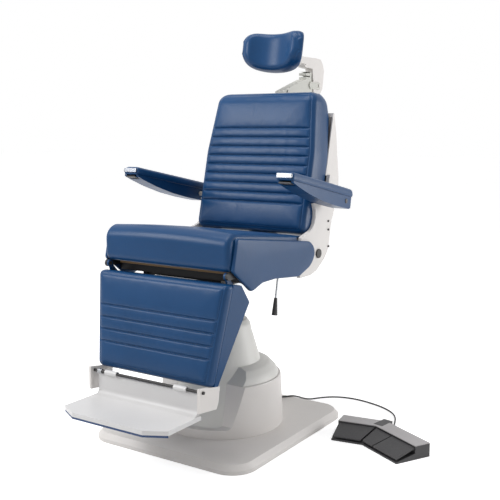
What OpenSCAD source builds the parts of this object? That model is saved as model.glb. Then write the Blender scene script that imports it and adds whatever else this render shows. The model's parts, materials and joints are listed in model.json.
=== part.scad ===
// Ophthalmic examination chair: a powered patient chair on a lifting column, with a swivel seat,
// a reclining back and leg rest, flip-up arms that stay level, a fold-up foot tray, a headrest
// on two pivots, and a foot control on a cord.
// The patient faces -Y and +Z is up. The origin is on the floor, under the column's axis.

/* [Base] */
// Width of the base plate
base_w = 652; // [560:4:760]
// Depth of the base plate
base_d = 732; // [640:4:800]
// Thickness of the base plate
base_t = 30; // [24:1:40]
// Distance of the plate's centre behind the column
base_back = 2; // [0:1:40]
// Corner radius of the plate
base_r = 88; // [40:4:110]
// Width of the plate's bevelled top edge
base_bevel = 16; // [4:1:20]
// Radius of the lower housing at its foot
housing_foot_r = 224; // [220:1:240]
// Radius of the lower housing at its rim
housing_rim_r = 216; // [208:1:219]
// Height of the housing's rim above the floor
rim_z = 208; // [180:2:230]
// Height of the housing's front lip above the floor
lip_z = 62; // [50:2:90]
// Wall of the plastic covers
cover_t = 5; // [3:0.5:6]
// Radius of the tower cover at its foot
tower_foot_r = 208; // [190:2:210]
// Radius of the tower cover at its neck
tower_neck_r = 108; // [96:2:124]
// Height of the tower cover's neck
neck_z = 370; // [330:5:380]
// Height of the tower cover's top
tower_z = 414; // [400:2:424]

/* [Lift] */
// Radius of the inner column
column_r = 60; // [50:1:64]
// Wall of the inner column
column_t = 10; // [6:1:12]
// Wall of the outer column
outer_t = 14; // [8:1:16]
// Height of the top of the inner column's flange, with the seat at mid height
flange_z = 552; // [545:1:560]
// Radius of the lift cylinder
cylinder_r = 32; // [24:1:38]
// Radius of the lift ram
ram_r = 16; // [10:1:20]

/* [Seat] */
// Half width of the seat cushion
seat_half = 258; // [244:1:262]
// Front face of the knee roll, in front of the column
seat_front = 327; // [310:1:340]
// Rear edge of the seat cushion, behind the column
seat_rear = 168; // [120:2:172]
// Height of the seat cushion's front edge
seat_z = 762; // [740:2:790]
// Slope of the seat down to the rear
seat_slope = 7.5; // [0:0.5:10]
// Rise of the cushion's crown
seat_crown = 9; // [2:1:14]
// Height of the top of the seat pan
pan_z = 641; // [636:1:646]
// Thickness of the seat pan
pan_t = 12; // [8:1:14]
// Thickness of an upholstered side panel
panel_t = 12; // [8:1:16]
// Depth of a side panel, front to rear
panel_d = 525; // [500:5:530]
// Height of a side panel
panel_h = 190; // [170:5:200]

/* [Back] */
// Lean of the back from upright, at rest
back_lean = 13.8; // [5:0.2:20]
// Recline pivot, behind the column
pivot_y = 254; // [240:1:270]
// Height of the recline pivot
pivot_z = 633; // [628:1:640]
// Half width of the back cushion
back_half = 240; // [220:1:240]
// Length of the back cushion
back_len = 534; // [440:2:540]
// Thickness of the back cushion
back_thick = 117; // [90:1:120]
// Depth of each sewn channel
channel_depth = 5; // [2:0.5:8]
// Spacing of the back's sewn channels
back_pitch = 35; // [30:1:40]
// Number of sewn channels on the back
back_channels = 9; // [5:1:10]
// Thickness of a hooked side plate
hook_t = 14; // [8:1:14]
// Depth of a hooked side plate, front to rear
hook_d = 263; // [240:1:280]
// Height of a hooked side plate
hook_h = 358; // [330:2:380]

/* [Arms] */
// Gap between the column's plane of symmetry and an arm's inner face
arm_inner = 290; // [280:1:310]
// Width of an arm
arm_w = 74; // [56:1:84]
// Length of an arm, from its pivot to its tip
arm_len = 390; // [370:5:480]
// Slope of an arm down to the rear
arm_slope = 11; // [0:1:13]
// Height of an arm pad's top above the arm's pivot
arm_top = 46; // [40:1:54]

/* [Leg rest] */
// Lean of the leg rest, its foot forward
leg_lean = 9.9; // [0:0.1:15]
// Leg rest pivot, in front of the column
leg_y = 318; // [312:1:322]
// Height of the leg rest pivot
leg_z = 631; // [629:1:632]
// Length from the pivot to the foot of the leg rest
leg_len = 349; // [320:1:370]
// Half width of the leg rest at its top
leg_half_top = 272; // [264:1:276]
// Half width of the leg rest at its foot
leg_half_foot = 232; // [226:1:250]
// Depth of the leg rest behind its pivot
leg_deep = 118; // [100:2:124]
// Spacing of the leg rest's sewn channels
leg_pitch = 40.7; // [36:0.5:44]
// Number of sewn channels on the leg rest
leg_channels = 4; // [2:1:5]

/* [Foot tray] */
// Half width of the tray's floor
tray_half = 214; // [190:1:217]
// Length of the tray's floor, in front of its wall
tray_len = 190; // [160:2:280]
// Drop from the hinge rod to the tray's floor
tray_drop = 80; // [70:1:100]
// Thickness of the tray's floor
tray_t = 14; // [8:1:18]
// Radius of the tray's hinge rod
rod_r = 5; // [4:0.5:6]

/* [Headrest] */
// Width of the head pad
head_w = 265; // [220:5:290]
// Height of the head pad
head_h = 142; // [120:2:160]
// Thickness of the head pad
head_t = 56; // [40:2:64]
// Radius of the head pad's hollow, at its middle
head_curve = 150; // [140:2:170]
// Width of the headrest post
post_w = 44; // [36:1:50]
// Thickness of the headrest post
post_t = 12; // [8:1:14]

/* [Foot control] */
// Length of the left wing
wing_left = 160; // [140:5:180]
// Length of the right wing
wing_right = 236; // [220:4:268]
// Depth of a wing, front to rear
wing_d = 140; // [130:2:150]
// Height of the foot control at its rear
control_h = 48; // [44:1:56]
// Radius of the foot control's cord
cord_r = 3; // [2.5:0.5:3.5]

/* [Hidden] */
$fn = 64;

// Colours
PAINT = "#dcd8d4";
TOWER = "#d6d7d2";
VINYL = "#2d5080";
STEEL = "#9a9c9e";
DARK = "#3c3a3c";
GUSSET = "#c5c6be";

// Clearances and small common sizes
gap = 0.3;
run_fit = 0.05;
over = 1;
screw_r = 4;

// Unit matters of outline: places a list of shares in a box with a corner and a size
function placed(shares, corner, size) =
    [for (s = shares) [corner[0] + s[0] * size[0], corner[1] + s[1] * size[1]]];

// A plate whose outline lies in the Y-Z plane, from x0 with thickness t
module side_plate(points, x0, t)
    translate([x0, 0, 0]) rotate([90, 0, 90]) linear_extrude(t) polygon(points);

// A round bar along X through the point [y, z]
module x_bar(at, x0, len, r)
    translate([x0, at[0], at[1]]) rotate([0, 90, 0]) cylinder(h = len, r = r);

// A flat link with round ends between two points in the Y-Z plane.
// Its ends are bosses that stand a little wider than its straight edges.
edge_ease = 1.5;
module link(p, q, r, x0, t) {
    span = norm(q - p);
    x_bar(p, x0, t, r);
    x_bar(q, x0, t, r);
    translate([x0, p[0], p[1]]) rotate([atan2(q[1] - p[1], q[0] - p[0]), 0, 0])
        translate([0, 0, edge_ease - r]) cube([t, span, 2 * (r - edge_ease)]);
}

// The left side as drawn, or the right side mirrored
module on_side(side) mirror([side > 0 ? 0 : 1, 0, 0]) children();
module both_sides() {
    children();
    mirror([1, 0, 0]) children();
}

// A closed skin over a list of rings with equal counts of points
module skin(rings) {
    n = len(rings[0]);
    m = len(rings);
    points = [for (ring = rings) each ring];
    sides = [for (i = [0:m - 2], j = [0:n - 1]) let (a = i * n + j, b = i * n + (j + 1) % n)
        each [[a, a + n, b], [b, a + n, b + n]]];
    caps = [for (j = [1:n - 2]) each [[0, j, j + 1], [(m - 1) * n, (m - 1) * n + j + 1, (m - 1) * n + j]]];
    polyhedron(points = points, faces = concat(sides, caps), convexity = 6);
}

// One ring of a cushion: a rounded rectangle of half width a between y0 (front) and y1 (rear).
// The front is crowned, and drawn in by dent where a channel is sewn.
ring_n = 24;
function sgn_pow(v, e) = sign(v) * pow(abs(v), e);
function cushion_ring(a, y0, y1, crown, dent, blunt = 0.42) = [for (i = [0:ring_n - 1])
    let (t = 360 * (i + 0.5) / ring_n, cx = sgn_pow(cos(t), blunt), cy = sgn_pow(sin(t), blunt),
         swell = max(0, -cy) * (crown * (1 - cx * cx) - dent * (abs(cx) < 0.93 ? 1 : 0)))
    [a * cx, (y0 + y1) / 2 + (y1 - y0) / 2 * cy - swell]];

// Base: plate, feet, covers and columns
base_y = base_back;
bevel_h = 17;
foot_inset = 78;
foot_r = 22;
foot_h = 10;
foot_stem_r = 6;
foot_stem_h = 12;
screw_len = 4;
rim_step = 9;
shoulder_rise = 53;
shoulder_shares = [[1, 0], [0.99, 0.15], [0.955, 0.4], [0.85, 0.8], [0.72, 0.96], [0.45, 1]];
tower_top_shares = [[1, 0], [0.96, 0.5], [0.86, 0.84], [0.66, 1]];
front_cut_shares = [[-0.28, 1.3], [-0.546, 1], [-0.616, 0.755], [-0.741, 0.341], [-0.796, 0],
    [-1.3, 0], [-1.3, 1.6], [-0.28, 1.6]];
outer_r = column_r + outer_t;
outer_z = tower_z - 9 * run_fit;
column_low = 150;
cross_z = 470;
flange_t = 12;
flange_r = 90;
spigot_r = 30;
spigot_drop = 52;
bearing_t = 8;
hub_r = 85;
hub_t = 14;
hub_z = flange_z + bearing_t + gap;
cylinder_top = 330;
gland_r = 8;
gland_len = 24;
gland_z = 48;

module base_outline() for (x = [-1, 1], y = [-1, 1])
    translate([x * (base_w / 2 - base_r), base_y + y * (base_d / 2 - base_r), 0]) children();
module at_feet() for (x = [-1, 1], y = [-1, 1])
    translate([x * (base_w / 2 - foot_inset), base_y + y * (base_d / 2 - foot_inset), 0]) children();

function plate_section(half) = [[-half, 0], [half, 0], [half, base_t - bevel_h], [half - base_bevel, base_t],
    [base_bevel - half, base_t], [-half, base_t - bevel_h]];
module base_plate() color(PAINT) difference() {
    union() {
        translate([0, base_y, 0]) {
            side_plate(plate_section(base_d / 2), base_r - base_w / 2, base_w - 2 * base_r);
            rotate([0, 0, 90]) side_plate(plate_section(base_w / 2), base_r - base_d / 2, base_d - 2 * base_r);
        }
        base_outline() {
            cylinder(h = base_t - bevel_h, r = base_r);
            translate([0, 0, base_t - bevel_h]) cylinder(h = bevel_h, r1 = base_r, r2 = base_r - base_bevel);
        }
    }
    at_feet() {
        translate([0, 0, -over]) cylinder(h = foot_h + over + gap, r = foot_r + gap);
        cylinder(h = foot_h + foot_stem_h + gap, r = foot_stem_r + gap);
    }
}

module levelling_feet() color(DARK) at_feet() {
    cylinder(h = foot_h, r = foot_r);
    cylinder(h = foot_h + foot_stem_h, r = foot_stem_r);
}

// Everything in front of the covers' sloping front edge, moved back by shift
module front_cut(shift) {
    rise = rim_z - lip_z;
    points = [for (s = front_cut_shares) [s[0] * housing_rim_r + shift, s[1] == 0 ? lip_z - shift
        : s[1] * rim_z]];
    side_plate(points, -2 * housing_foot_r, 4 * housing_foot_r);
}
tower_slope = (tower_foot_r - tower_neck_r) / (neck_z - base_t);
module tower_solid(grow, top) rotate_extrude() polygon(concat(
    [[0, base_t - over], [tower_foot_r + tower_slope * over + grow, base_t - over]],
    [for (s = tower_top_shares) [tower_neck_r * s[0] + grow, neck_z + s[1] * (tower_z - neck_z) + top]],
    [[0, tower_z + top]]));

module lower_housing() color(PAINT) difference() {
    rotate_extrude() polygon([[0, base_t + gap], [housing_foot_r, base_t + gap],
        [housing_rim_r, rim_z - cover_t], [housing_rim_r - cover_t / 2, rim_z], [0, rim_z]]);
    tower_solid(gap, 0);
    front_cut(0);
    difference() {
        rotate_extrude() polygon([[0, 0], [housing_foot_r - cover_t, 0],
            [housing_rim_r - cover_t, rim_z - cover_t], [0, rim_z - cover_t]]);
        front_cut(cover_t);
    }
}

module shoulder(wall) {
    r = housing_rim_r - rim_step - wall;
    rotate_extrude() polygon(concat([[0, rim_z + gap], [r, rim_z + gap]],
        [for (s = shoulder_shares) [r * s[0], rim_z + gap + s[1] * (shoulder_rise - wall)]],
        [[0, rim_z + gap + shoulder_rise - wall]]));
}
module tower_cover() color(TOWER) difference() {
    union() {
        difference() {
            tower_solid(0, 0);
            cylinder(h = base_t + gap, r = 2 * tower_foot_r);
        }
        difference() {
            shoulder(0);
            front_cut(0);
        }
    }
    tower_solid(-cover_t, -cover_t);
    difference() {
        translate([0, 0, -over]) shoulder(cover_t);
        front_cut(cover_t);
        tower_solid(0, 0);
    }
    cylinder(h = tower_z + over, r = column_r + cover_t / 2);
}

module outer_column() color(STEEL) difference() {
    union() {
        translate([0, 0, base_t]) cylinder(h = outer_z - 1.6 * cover_t - base_t, r = outer_r);
        translate([0, 0, base_t]) cylinder(h = flange_t, r = outer_r + 2 * outer_t);
    }
    cylinder(h = tower_z, r = column_r + run_fit);
}

module lift_cylinder() color(DARK) difference() {
    translate([0, 0, base_t]) cylinder(h = cylinder_top - base_t, r = cylinder_r);
    translate([0, 0, base_t + cover_t]) cylinder(h = cylinder_top, r = ram_r + run_fit);
}

cover_screw_angles = [45, 80, 100, 135];
module cover_screws() color(STEEL) for (a = cover_screw_angles)
    rotate([0, 0, a]) translate([housing_foot_r + gap, 0, gland_z]) rotate([0, 90, 0])
        cylinder(h = screw_len, r = screw_r);

module base_gland() color(DARK) difference() {
    translate([0, housing_foot_r + gap, gland_z]) rotate([-90, 0, 0]) {
        cylinder(h = gland_len / 2, r = gland_r);
        cylinder(h = gland_len, r = gland_r * 2 / 3);
    }
}

// Foot control: two wings that meet at a rear corner, and three pedals
corner = [542, 254];
angle_left = 9.1;
angle_right = -28.4;
strip_d = 62;
strip_t = 3;
hub_w = 36;
hub_back = 13;
hub_d = 54;
centre_turn = (angle_left + angle_right) / 2;
step_share = 0.5;
toe_share = 0.14;
module in_wing(angle) translate([corner[0], corner[1], 0]) rotate([0, 0, angle]) children();
// A point of the outline, from a wing's own frame to the frame of the corner
function from_wing(angle, p) = [p[0] * cos(angle) - p[1] * sin(angle), p[0] * sin(angle) + p[1] * cos(angle)];
half_angle = (angle_left - angle_right) / 2;
// Both wings in one outline of a given depth, mitred where they meet
module wings(depth, h) translate([corner[0], corner[1], 0]) linear_extrude(h) polygon([
    [0, 0], from_wing(angle_left, [-wing_left, 0]), from_wing(angle_left, [-wing_left, -depth]),
    from_wing(centre_turn, [0, -depth / cos(half_angle)]),
    from_wing(angle_right, [wing_right, -depth]), from_wing(angle_right, [wing_right, 0])]);
// The slope below a wing's pedals, from the middle of its strip down to the toe
slope_in = strip_d / 2;
right_lower = 1;
module wing_slope(x0, len, lower) {
    step_h = (control_h - strip_t) * step_share - lower;
    toe_h = (control_h - strip_t) * toe_share - lower;
    rise = (step_h - toe_h) / (wing_d - strip_d) * slope_in;
    rotate([90, 0, 90]) translate([0, 0, x0]) linear_extrude(len) polygon([
        [-slope_in, 0], [-slope_in, step_h + rise], [-wing_d, toe_h], [-wing_d, 0]]);
}
// Each pedal turns on a bead that sits in a groove along the step
bead_r = 4;
bead_out = 3;
bead_z = 37;
bead_end_gap = 1;
wing_inset = 6;
bead_at = [-strip_d - bead_out, bead_z];
pedal_t = 5.6;
pedal_low = 2;
pedal_slope = 17.7;
pedal_len = 76;
left_pedal = [[-156, -26], [-156, -54]];
centre_pedal = [[27, 109], [47, 102]];
right_pedal = [[113, 232], [107, 232]];
module pedal(angle, ends) color(DARK) in_wing(angle) {
    x_bar(bead_at, ends[0][0], ends[0][1] - ends[0][0], bead_r);
    translate([0, bead_at[0], bead_at[1]]) rotate([pedal_slope, 0, 0]) translate([0, 0, -pedal_low])
        linear_extrude(pedal_t) polygon([[ends[0][0], 0], [ends[0][1], 0], [ends[1][1], -pedal_len],
            [ends[1][0], -pedal_len]]);
}
module pedal_left() pedal(angle_left, left_pedal);
module pedal_centre() pedal(angle_right, centre_pedal);
module pedal_right() pedal(angle_right, right_pedal);

module control_hub(grow) in_wing(centre_turn) translate([-hub_w / 2 - grow, -hub_d - grow, 0])
    cube([hub_w + 2 * grow, hub_d + hub_back + 2 * grow, control_h + grow]);
module control_housing() color(DARK) difference() {
    union() {
        wings(strip_d, control_h - strip_t);
        in_wing(angle_left) wing_slope(-wing_left, wing_left - wing_inset, 0);
        in_wing(angle_right) wing_slope(wing_inset, wing_right - wing_inset, right_lower);
        control_hub(0);
    }
    in_wing(angle_left) x_bar(bead_at, -wing_left - over, wing_left + over + left_pedal[0][1] + bead_end_gap,
        bead_r + run_fit);
    in_wing(angle_right) x_bar(bead_at, centre_pedal[0][0] - bead_end_gap, wing_right, bead_r + run_fit);
}
module control_strips() color(PAINT) difference() {
    translate([0, 0, control_h - strip_t + gap]) wings(strip_d, strip_t - gap);
    control_hub(gap);
}
module control_gland() color(DARK) in_wing(centre_turn)
    translate([0, hub_back + gap, control_h / 3]) rotate([-90, 0, 0])
        cylinder(h = gland_len / 2, r = gland_r * 3 / 4);

// The cord's route, from the rear of the housing over the plate to the foot control
cord_route = [
    [0, 248.4, 48], [0, 258, 48], [2, 272, 45], [10, 285, 40], [28, 296, 35.5], [56, 308, 33.3],
    [76, 330, 33.2], [93, 354, 32], [107, 376, 25], [119, 400, 14], [132, 430, 5], [150, 462, 3],
    [180, 497, 3], [214, 519, 3], [250, 530, 3], [290, 533, 3], [331, 528, 3], [385, 514, 3],
    [436, 491, 3], [478, 459, 3], [506, 419, 3], [524, 375, 3], [538, 334, 4], [546, 306, 10],
    [549, 295, 15], [546.2, 279, 16]
];
cord_steps = 3;
cord_sides = 8;
function spline(p, q, r, s, t) = 0.5 * ((2 * q) + (r - p) * t + (2 * p - 5 * q + 4 * r - s) * t * t
    + (3 * q - p - 3 * r + s) * t * t * t);
function smooth_route(pts, steps) = let (n = len(pts)) concat(
    [for (i = [0:n - 2], k = [0:steps - 1])
        spline(pts[max(0, i - 1)], pts[i], pts[i + 1], pts[min(n - 1, i + 2)], k / steps)],
    [pts[n - 1]]);
function unit(v) = v / norm(v);
// Rings of a round tube along a route, each square to the route's direction there
function tube_rings(pts, r, sides) = [for (i = [0:len(pts) - 1])
    let (d = unit(pts[min(i + 1, len(pts) - 1)] - pts[max(i - 1, 0)]),
         across = unit(cross(abs(d[2]) < 0.9 ? [0, 0, 1] : [0, 1, 0], d)), up = cross(d, across))
    [for (j = [0:sides - 1]) pts[i] + r * (cos(360 * (j + 0.5) / sides) * across
        + sin(360 * (j + 0.5) / sides) * up)]];
module foot_cord() color(DARK) skin(tube_rings(smooth_route(cord_route, cord_steps), cord_r, cord_sides));

// Lift: what rises with the column
module inner_column() color("#b9bbbd") difference() {
    union() {
        translate([0, 0, column_low]) cylinder(h = flange_z - column_low, r = column_r);
        translate([0, 0, flange_z - flange_t]) cylinder(h = flange_t, r = flange_r);
    }
    difference() {
        translate([0, 0, column_low - over]) cylinder(h = flange_z - flange_t - column_low + over,
            r = column_r - column_t);
        translate([0, 0, cross_z]) cylinder(h = flange_t, r = column_r);
    }
    translate([0, 0, flange_z - 2 * flange_t]) cylinder(h = 3 * flange_t, r = spigot_r + run_fit);
}
module lift_ram() color("#d0d2d4") translate([0, 0, column_low]) cylinder(h = cross_z - column_low, r = ram_r);
module swivel_bearing() color(STEEL) translate([0, 0, flange_z]) difference() {
    cylinder(h = bearing_t, r = hub_r - bearing_t);
    translate([0, 0, -over]) cylinder(h = bearing_t + 2 * over, r = spigot_r + bearing_t / 2);
}

// Seat: frame, pan, panels and drives
module swivel_hub() color(STEEL) {
    translate([0, 0, hub_z]) cylinder(h = hub_t, r = hub_r);
    translate([0, 0, hub_z - spigot_drop]) cylinder(h = spigot_drop, r = spigot_r);
}
deck_z = hub_z + hub_t;
deck_t = 10;
deck_half = 166;
rail_x = 135;
rail_w = 30;
rail_front = 235;
rail_rear = 214;
beam_t = 29;
beam_z = pan_z - pan_t - beam_t;
front_beam_y = 250;
mid_beam_y = 40;
rear_beam_y = 184;
beam_d = 30;
panel_x = seat_half + gap;
lug_x = 205;
lug_t = 16;
lug_r = 25;
shaft_r = 12;
pivot = [pivot_y, pivot_z];
leg_pivot = [-leg_y, leg_z];
ear_r = 12;
ear_x = 248;
ear_t = 8;
leg_pin_r = 7;
leg_pin_reach = 10;

// The level rods run parallel to the line from the recline pivot to each arm carrier's pivot
back_dir = [sin(back_lean), cos(back_lean)];
rear_dir = [cos(back_lean), -sin(back_lean)];
function on_back(v, w) = pivot + v * rear_dir + w * back_dir;
carrier_v = 30;
carrier_w = 225;
carrier_pivot = on_back(carrier_v, carrier_w);
rod_offset_v = 27.9;
rod_offset_w = -19.5;
rod_offset = rod_offset_v * rear_dir + rod_offset_w * back_dir;
rod_half = 6;
rod_x = 224;
rod_t = 6;
rod_pin_r = 4;

module box_bar(x0, y0, z0, size) translate([x0, y0, z0]) cube(size);
module seat_frame() color(STEEL) difference() {
    union() {
        box_bar(-deck_half, -deck_half, deck_z, [2 * deck_half, 2 * deck_half, deck_t]);
        both_sides() {
            box_bar(rail_x, -rail_front, deck_z + deck_t, [rail_w, rail_front + rail_rear,
                pan_z - pan_t - deck_z - deck_t]);
            x_bar(pivot, lug_x, lug_t, lug_r);
            box_bar(lug_x + over, rear_beam_y + over, beam_z + over, [lug_t - 2 * over,
                pivot_y - rear_beam_y, beam_t - 2 * over]);
            x_bar(pivot + rod_offset, lug_x + over, lug_t - 2 * over, 2 * rod_half);
            x_bar(pivot + rod_offset, lug_x + lug_t / 2, rod_x + rod_t - lug_x - lug_t / 2, rod_pin_r);
            x_bar(leg_pivot, ear_x, ear_t, ear_r);
            box_bar(ear_x + over, -leg_y, leg_z - ear_r + over, [ear_t - 2 * over,
                leg_y - front_beam_y + beam_d - over, 2 * (ear_r - over)]);
        }
        box_bar(-ear_x - ear_t, -front_beam_y, beam_z, [2 * (ear_x + ear_t), beam_d, beam_t]);
        box_bar(-panel_x + gap, mid_beam_y, beam_z, [2 * (panel_x - gap), beam_d, beam_t]);
        box_bar(-lug_x - lug_t, rear_beam_y, beam_z, [2 * (lug_x + lug_t), beam_d, beam_t]);
    }
    x_bar(pivot, -2 * lug_x, 4 * lug_x, shaft_r + run_fit);
    x_bar(leg_pivot, -2 * ear_x, 4 * ear_x, leg_pin_r + run_fit);
}
module seat_pan() color("#8a7458") {
    half = rod_x + rod_t;
    box_bar(-half, -front_beam_y - beam_d, pan_z - pan_t, [2 * half, front_beam_y + beam_d + seat_rear, pan_t]);
}
module leg_pins() color(STEEL) both_sides()
    x_bar(leg_pivot, ear_x - leg_pin_reach, ear_t + leg_pin_reach + run_fit, leg_pin_r);

panel_shares = [[0.046, 0.995], [0, 0.458], [0.204, 0.037], [0.23, 0.05], [0.33, 0.137], [0.484, 0.142],
    [0.785, 0.058], [0.93, 0.19], [0.975, 0.29], [0.998, 0.4], [1, 0.46], [0.985, 0.56], [0.933, 0.674]];
module side_panel(side) color(VINYL) on_side(side)
    side_plate(placed(panel_shares, [10 - seat_front, seat_z - 202], [panel_d, panel_h]), panel_x, panel_t);
module side_panel_left() side_panel(1);
module side_panel_right() side_panel(-1);

// Seat cushion: rings from the knee roll's front face to the rear edge
narrow_half = hook_x0() - 6;
function hook_x0() = back_half + 2;
notch_y = 92;
roll_d = 60;
function seat_top(y) = seat_z - (y + seat_front - roll_d) * tan(seat_slope);
module seat_cushion() color(VINYL) {
    front_rows = [for (u = [0, 0.05, 0.16, 0.35, 0.65, 1]) u * roll_d - seat_front];
    rear_rows = concat([-230, -190, -140, -80, -20, 40, notch_y - 2], [notch_y + 3, 130, seat_rear - 16],
        [seat_rear - 5, seat_rear]);
    rings = [for (y = concat(front_rows, rear_rows))
        let (f = min(1, (y + seat_front) / roll_d), g = min(1, (seat_rear - y) / 20),
             shrink = 0.3 * (1 - sqrt(1 - pow(1 - f, 2.6))) + 0.25 * (1 - sqrt(1 - pow(1 - g, 2.4))),
             top = seat_top(max(y, roll_d - seat_front)), low = pan_z + gap, h = top - low,
             mid = y < notch_y ? sin(180 * (y + seat_front) / (notch_y + seat_front)) : 0,
             half = (y < notch_y ? seat_half : narrow_half) - 3 * mid - 12 * shrink)
        [for (p = cushion_ring(half, -top + h * shrink * 0.8, -low - h * shrink * 0.5, seat_crown * f * g, 0, 0.3))
            [p[0], y, -p[1]]]];
    skin(rings);
}

// Recline drive: a gear case round the torque shaft and a motor that hangs below
case_r = 42;
case_half = 45;
motor_r = 26;
motor_len = 74;
module recline_drive() color(DARK) difference() {
    union() {
        x_bar(pivot, -case_half, 2 * case_half, case_r);
        translate([0, pivot_y, pivot_z - case_r - motor_len]) cylinder(h = motor_len + case_r, r = motor_r);
    }
    x_bar(pivot, -2 * case_half, 4 * case_half, shaft_r + run_fit);
    box_bar(-2 * case_half, rear_beam_y, beam_z - gap, [4 * case_half, beam_d + gap, beam_t + 2 * gap]);
}

// Swivel lock lever below the seat's left rail
lock_x = 176;
lock_top = [110, 600];
lock_low = [88, 486];
lock_end = [80, 424];
lock_r = 4;
lock_eye_r = 10;
grip_r_top = 6;
grip_r_end = 11;
module lock_rod() color("#c9cbcd") difference() {
    union() {
        x_bar(lock_top, rail_x + rail_w + gap, lock_x - rail_x - rail_w + lock_r, lock_eye_r);
        translate([lock_x, lock_low[0], lock_low[1]])
            rotate([-atan2(lock_top[0] - lock_low[0], lock_top[1] - lock_low[1]), 0, 0])
                cylinder(h = norm(lock_top - lock_low), r = lock_r);
    }
}
module lock_grip() color(DARK) translate([lock_x, lock_end[0], lock_end[1]])
    rotate([-atan2(lock_low[0] - lock_end[0], lock_low[1] - lock_end[1]), 0, 0])
        cylinder(h = norm(lock_low - lock_end), r1 = grip_r_end, r2 = grip_r_top);

// Back: hooked side plates, panel, shell and cushion
module in_back() translate([0, pivot_y, pivot_z]) rotate([-back_lean, 0, 0]) children();
hook_reach = 132;
hook_below = 73;
hook_corner = [pivot_y - hook_reach, pivot_z - hook_below];
hook_shares = [[0, 0], [0.293, 0], [0.46, 0.03], [0.593, 0.087], [0.7, 0.14], [0.768, 0.196],
    [0.81, 0.25], [0.825, 0.296], [0.878, 0.492], [0.966, 0.615], [0.996, 0.69], [1, 0.966], [0.825, 1],
    [0.734, 0.726], [0.384, 0.721], [0.418, 0.65], [0.418, 0.587], [0.39, 0.52], [0.34, 0.475],
    [0.278, 0.45], [0.046, 0.405], [-0.02, 0.22]];
module hook_plate(side) color(PAINT) on_side(side) difference() {
    side_plate(placed(hook_shares, hook_corner, [hook_d, hook_h]), hook_x0(), hook_t);
    x_bar(pivot, hook_x0() - over, hook_t + 2 * over, shaft_r + run_fit);
    x_bar(carrier_pivot, hook_x0() - over, hook_t + 2 * over, carrier_r + run_fit);
}
module hook_plate_left() hook_plate(1);
module hook_plate_right() hook_plate(-1);
cap_r = 17;
cap_t = 5;
module torque_shaft() color(STEEL) {
    reach = hook_x0() + hook_t + gap;
    x_bar(pivot, -reach, 2 * reach, shaft_r);
    both_sides() x_bar(pivot, reach, cap_t, cap_r);
}
screw_places = [[328, 746], [329, 714], [331, 651]];
module plate_screws() color(STEEL) both_sides() for (p = screw_places)
    x_bar(p, hook_x0() + hook_t + run_fit, screw_len, screw_r);

panel_v = 13;
board_t = 6;
board_half = 212;
board_low = 62;
board_top = 540;
crossbar_d = 13;
crossbar_h = 30;
crossbar_low = 100;
crossbar_high = 264;
module back_panel() color(STEEL) in_back() {
    box_bar(-board_half, panel_v, board_low, [2 * board_half, board_t, board_top - board_low]);
    for (w = [crossbar_low, crossbar_high])
        box_bar(-hook_x0(), panel_v + board_t, w, [2 * hook_x0(), crossbar_d, crossbar_h]);
}

// Back cushion: rings up its length, each with the width and depth it has there
back_low = 56;
back_width_table = [[0, 0.97], [0.02, 0.99], [0.06, 1], [0.58, 1], [0.75, 0.945], [0.89, 0.905],
    [0.96, 0.87], [0.985, 0.82], [1, 0.74]];
back_front_table = [[0, 0.8], [0.02, 0.92], [0.06, 1], [0.9, 1], [0.955, 0.93], [0.985, 0.78], [1, 0.6]];
back_first = 108;
module back_cushion() color(VINYL) in_back() {
    chan = [for (k = [0:back_channels - 1]) back_first + k * back_pitch];
    rows = concat([0, 0.01, 0.03, 0.07, 0.13],
        [for (c = chan, d = [-0.2, 0, 0.2, 0.5]) (c + d * back_pitch) / back_len],
        [0.82, 0.88, 0.925, 0.955, 0.975, 0.99, 1]);
    dents = [for (c = chan) c / back_len];
    skin([for (u = rows)
        let (half = back_half * lookup(u, back_width_table), f = lookup(u, back_front_table),
             near = min([for (d = dents) abs(u - d)]), dent = near < 0.001 ? channel_depth : 0,
             rear = panel_v - gap - (u > 0.85 ? (u - 0.85) * back_thick * 1.6 : 0))
        [for (p = cushion_ring(half, panel_v - back_thick * f, rear, 8 * f, dent, 0.3))
            [p[0], p[1], back_low + u * back_len]]]);
}

shell_half = 236;
shell_t = 4;
shell_low = 200;
shell_top = 532;
shell_shares = [[0, 0], [1, 0.01], [1.02, 0.12], [0.94, 0.3], [0.36, 0.8], [0.06, 1], [0, 1]];
shell_d = 114;
shell_slot_h = 70;
module back_shell() color(PAINT) in_back() difference() {
    shell_h = shell_top - shell_low;
    points = placed(shell_shares, [panel_v + board_t + gap, shell_low], [shell_d, shell_h]);
    inner = placed(shell_shares, [panel_v + board_t - over, shell_low + shell_t],
        [shell_d - shell_t + over, shell_h - 2 * shell_t - shell_d * 0.1]);
    side_plate(points, -shell_half, 2 * shell_half);
    side_plate(inner, shell_t - shell_half, 2 * (shell_half - shell_t));
    box_bar(-hook_x0(), panel_v + board_t - over, crossbar_high - gap,
        [2 * hook_x0(), crossbar_d + gap + over, crossbar_h + 2 * gap]);
    box_bar(-post_w / 2 - shell_t, panel_v + board_t + shell_t - over, shell_top - shell_slot_h,
        [post_w + 2 * shell_t, post_t + 4 * shell_t, 2 * shell_slot_h]);
    both_sides() translate([0, carrier_v, carrier_w]) rotate([0, 90, 0])
        cylinder(h = 2 * shell_half, r = carrier_r + shell_t / 2);
    both_sides() box_bar(crank_x - 2 * gap, panel_v + board_t - over, shell_low - over,
        [rod_x + rod_t - crank_x + 2 * over, 2 * shell_d / 3, 2 * shell_t + over]);
}
guide_t = 4;
guide_low = 300;
guide_top = 440;
post_v = panel_v + board_t + guide_t + 2 * gap;
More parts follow.
